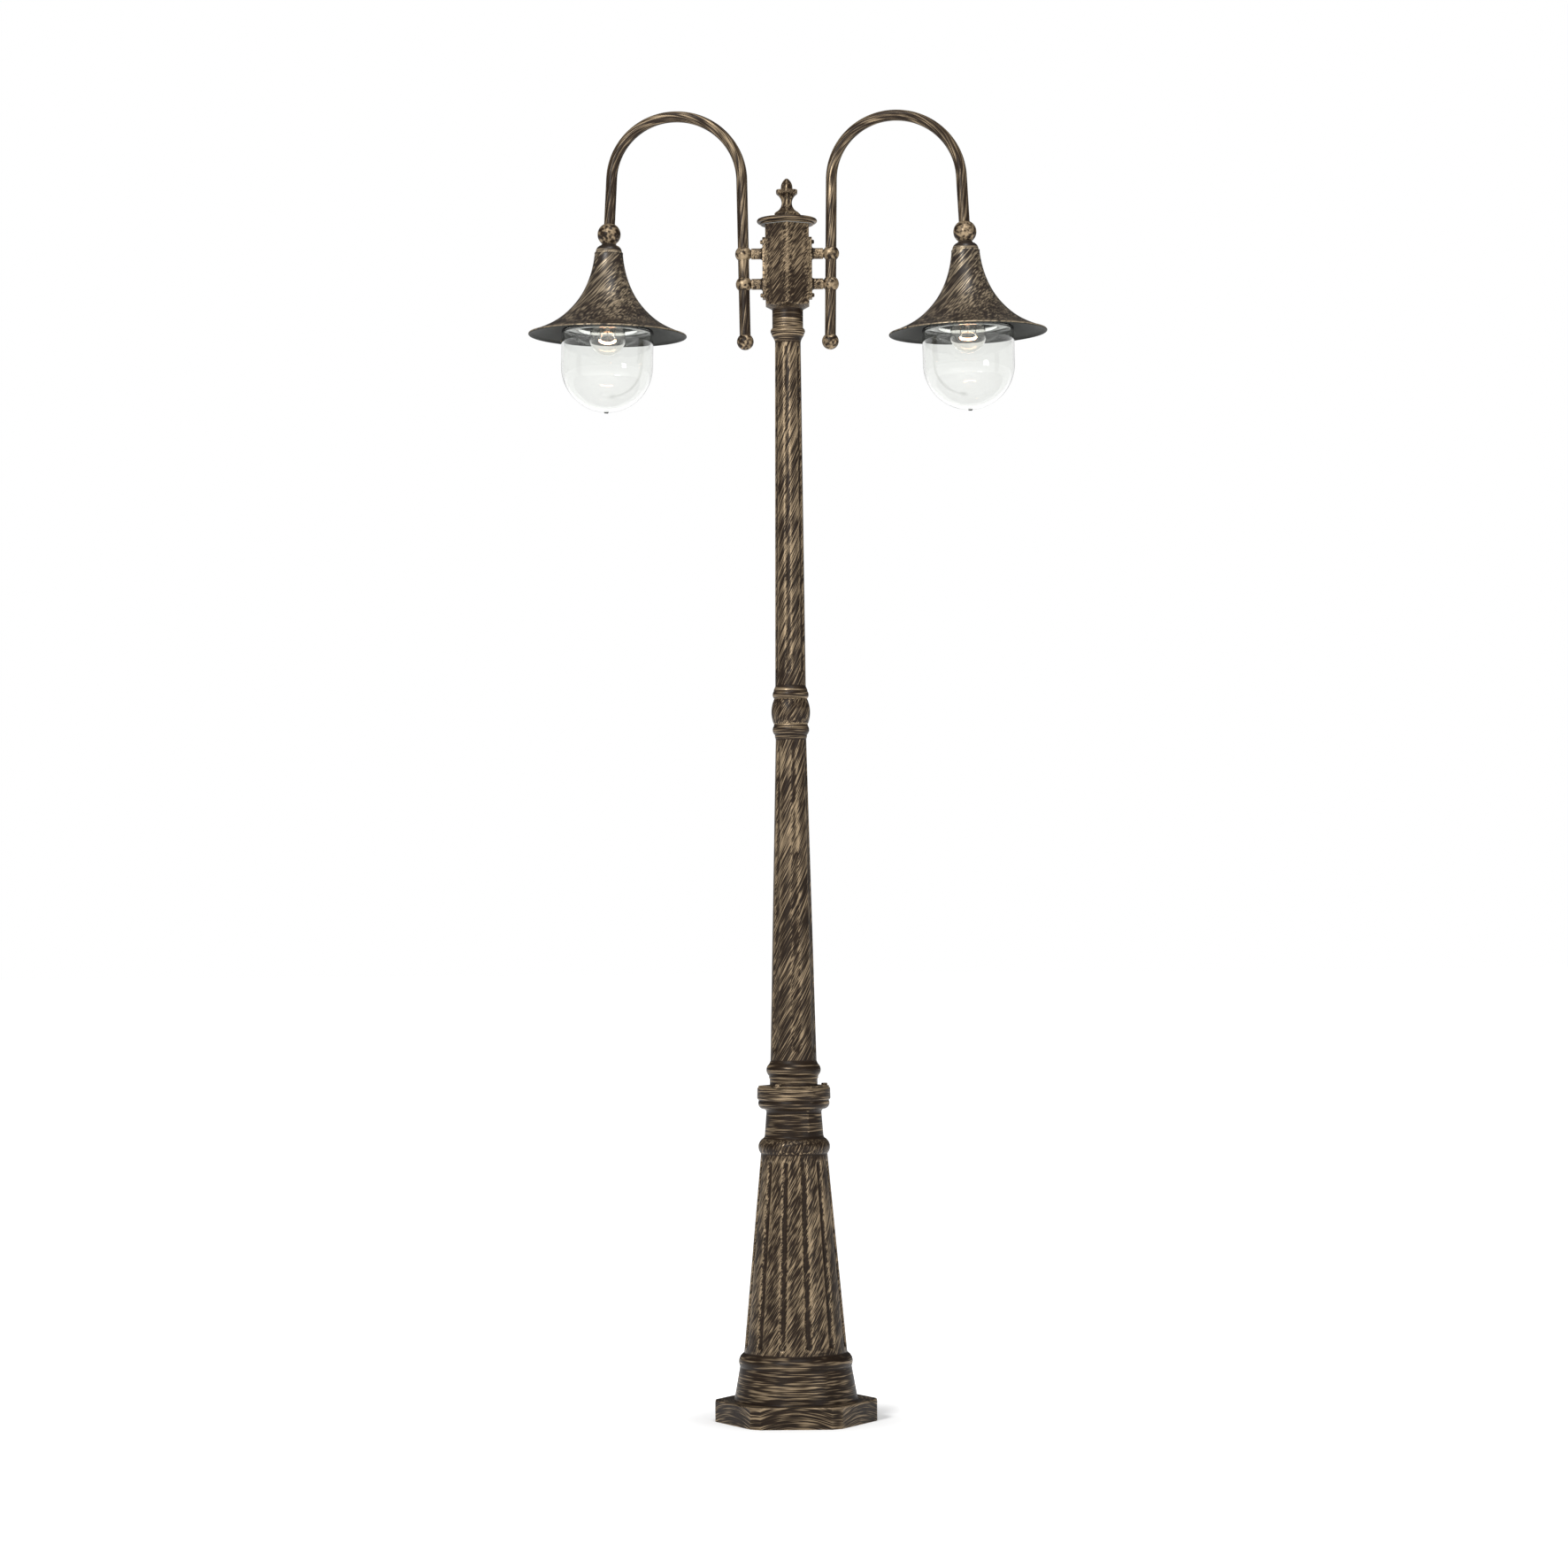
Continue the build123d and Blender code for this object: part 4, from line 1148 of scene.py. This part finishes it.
def bulb(side, turn):
    """Clear bulb: envelope, threaded cap, glass stem with its lead wires, and the glowing filament."""
    body, place = f"bulb_{side}", hung(turn)
    glass = spun(envelope(0.0) + list(reversed(envelope(1.0))), 64)
    moved(glass, place)
    finished(f"{body}_envelope", glass, body, [f"bulb_glass_{side}"], [BULB_GLASS], sharp=60)

    ridges = [(13.05 - 0.45 * (i % 2), BULB_NECK + 1.5 + 1.8 * i) for i in range(11)]
    tip = (9.0, 1843.0), (4.5, 1846.0), (3.0, 1847.0), (0, 1847.0)
    shell = moved(spun(outline((0, BULB_NECK), (13.0, BULB_NECK), *ridges, *tip), 48), place)
    finished(f"{body}_screw_cap", shell, body, [f"bulb_cap_{side}"], [NICKEL])

    stem_top = BULB_NECK - 0.5
    stem = spun(outline((0, 1786.0), (2.6, 1786.0), (3.2, 1806.0), (7.5, stem_top), (0, stem_top)), 24)
    join(stem, spun(outline((0, 1782.5), ((3.4, 1785.5), (0, 1788.5)), step=0.8), 20))
    moved(stem, place)
    finished(f"{body}_stem", stem, body, [f"bulb_mount_{side}"], [BULB_GLASS], sharp=60)

    wires = bmesh.new()
    for way in (1, -1):
        lead = (2, 1799), (8, 1794), (12.2, 1784), (COIL_END, COIL_TOP)
        join(wires, wire([Vector((x * way, 0, z)) for x, z in lead], 0.6))
    join(wires, wire([Vector((0, 0, 1786)), Vector((0, -2.5, 1776)), Vector((0, -4.5, 1765.5))], 0.35))
    moved(wires, place)
    finished(f"{body}_lead_wires", wires, body, [], [ZINC])

    angles = [pi * i / 16 for i in range(17)]
    bow = [Vector((COIL_END * cos(a), -5.5 * sin(a), COIL_TOP - 4 * sin(a))) for a in angles]
    coil = moved(wire(bow, 2.0), place)
    finished(f"{body}_filament", coil, body, [], [FILAMENT])


def wire(stops, radius, around=10):
    """A round wire through the stops, with closed ends."""
    bm = bmesh.new()
    rings = []
    for i, here in enumerate(stops):
        way = (stops[min(i + 1, len(stops) - 1)] - stops[max(i - 1, 0)]).normalized()
        turn = Vector((0, 0, 1)).rotation_difference(way).to_matrix().to_4x4()
        at, capped = Matrix.Translation(here) @ turn, i in (0, len(stops) - 1)
        ring = bmesh.ops.create_circle(bm, segments=around, radius=radius, cap_ends=capped, matrix=at)
        ring = ring["verts"]
        rings.append([edge for edge in bm.edges if edge.verts[0] in ring and edge.verts[1] in ring])
    for one, two in zip(rings, rings[1:]):
        bmesh.ops.bridge_loops(bm, edges=one + two)
    bmesh.ops.recalc_face_normals(bm, faces=bm.faces)
    return bm


# ------------------------------------------------------------------ CAD nodes that stay
CARRIED_OVER = {
    "cap_gasket": RUBBER,
    "gasket_left": RUBBER,
    "gasket_right": RUBBER,
    "gallery_left": ALUMINIUM,
    "gallery_right": ALUMINIUM,
    "lampholder_left": PORCELAIN,
    "lampholder_right": PORCELAIN,
    "contact_left": NICKEL,
    "contact_right": NICKEL,
    "nipple_left": ZINC,
    "nipple_right": ZINC,
    "locknuts": ZINC,
    "finial_stud": ZINC,
    "joint_sleeve": ZINC,
    "terminal_block": NYLON,
    "inlet_connector": NYLON,
    "riser_cable": PVC,
    "lamp_wire_left": PVC,
    "lamp_wire_right": PVC,
}


def dress():
    for name, material in CARRIED_OVER.items():
        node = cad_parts[name]
        if not node.material_slots:
            node.data.materials.append(material)
        for slot in node.material_slots:
            slot.material = material


# ------------------------------------------------------------------ floor, light and camera
def floor():
    """A wide pale floor, bright of itself, its glow dimmed round the post's foot as a painted shadow, on top
    of the soft real shadow that the lamps cast there.
    """
    bm = bmesh.new()
    bmesh.ops.create_grid(bm, x_segments=1, y_segments=1, size=40)
    mesh = bpy.data.meshes.new("floor")
    bm.to_mesh(mesh)
    bm.free()
    sheet = bpy.data.objects.new("floor", mesh)
    bpy.context.scene.collection.objects.link(sheet)
    material, tree, shader = blank("pale_studio_floor")
    place = add(tree, "TexCoord").outputs["Object"]
    away = add(tree, "VectorMath", {0: place}, operation="LENGTH").outputs["Value"]
    # the glow is dim at the post's foot and full from 0.38 m out: a painted shadow round the foot
    glow = add(
        tree,
        "MapRange",
        {"Value": away, "From Min": 0.13, "From Max": 0.38, "To Min": 0.12, "To Max": 0.85},
        interpolation_type="SMOOTHSTEP",
    ).outputs[0]
    plug(tree, shader, Base_Color=colour("#f4f4f4"), Roughness=0.9, Specular_IOR_Level=0.0)
    plug(tree, shader, Emission_Color=colour("#ffffff"), Emission_Strength=glow)
    mesh.materials.append(material)


def lamp(name, place, aim, size, power):
    """A square soft light."""
    data = bpy.data.lights.new(name, "AREA")
    data.shape, data.size, data.energy = "SQUARE", size, power
    light = bpy.data.objects.new(name, data)
    bpy.context.scene.collection.objects.link(light)
    light.location = place
    light.rotation_euler = (Vector(aim) - Vector(place)).to_track_quat("-Z", "Y").to_euler()


def sky():
    """White behind everything, dimmer as a light, and dimmer still in reflections, so that the sides
    of the post stay dark."""
    world = bpy.data.worlds.new("studio")
    bpy.context.scene.world = world
    world.use_nodes = True
    tree = world.node_tree
    path = add(tree, "LightPath")
    seen = add(
        tree,
        "Math",
        {0: path.outputs["Is Camera Ray"], 1: path.outputs["Is Transmission Ray"]},
        operation="MAXIMUM",
    ).outputs[0]
    sharp = add(tree, "MapRange", {"Value": path.outputs["Is Singular Ray"], "To Min": 0.12, "To Max": 0.7})
    mirrored = add(
        tree, "MapRange", {"Value": path.outputs["Is Glossy Ray"], "To Min": 0.3, "To Max": sharp.outputs[0]}
    ).outputs[0]
    power = add(tree, "MapRange", {"Value": seen, "To Min": mirrored, "To Max": 1.0}).outputs[0]
    white = add(tree, "Background", {"Color": colour("#ffffff"), "Strength": power})
    tree.links.new(white.outputs[0], tree.nodes["World Output"].inputs["Surface"])


def camera():
    """Eye level on the lower column, six and a half metres away."""
    data = bpy.data.cameras.new("camera")
    data.lens, data.sensor_width = 91.95, 36.0
    eye = bpy.data.objects.new("camera", data)
    bpy.context.scene.collection.objects.link(eye)
    place, aim = Vector((-0.008, -6.55, 0.845)), Vector((-0.0120, 0.0, 1.0373))
    eye.location = place
    look = (aim - place).to_track_quat("-Z", "Y").to_matrix().to_4x4()
    eye.rotation_euler = (look @ Matrix.Rotation(radians(-0.45), 4, "Z")).to_euler()
    bpy.context.scene.camera = eye


camera()
floor()
sky()
lamp("key", (-2.4, -4.4, 3.6), (0, 0, 1.2), 1.2, 240)
lamp("fill", (3.4, -3.6, 1.4), (0, 0, 1.1), 0.9, 45)
lamp("top", (0.3, -1.6, 4.4), (0, 0, 1.0), 1.2, 60)
bpy.context.scene.view_settings.view_transform = "Standard"

pedestal()
flange_bolts()
column_lower()
coupling()
column_upper()
head_box()
head_cap()
finial()
cap_screws()
bracket_screws()
set_screws()
for side, turn in SIDES.items():
    bracket_plate(side, turn)
    clamp(side, turn, "upper")
    clamp(side, turn, "lower")
    end_ball(side, turn)
    arm(side, turn)
    knuckle(side, turn)
    shade_cap(side, turn)
    shade(side, turn)
    globe(side, turn)
    bulb(side, turn)
dress()
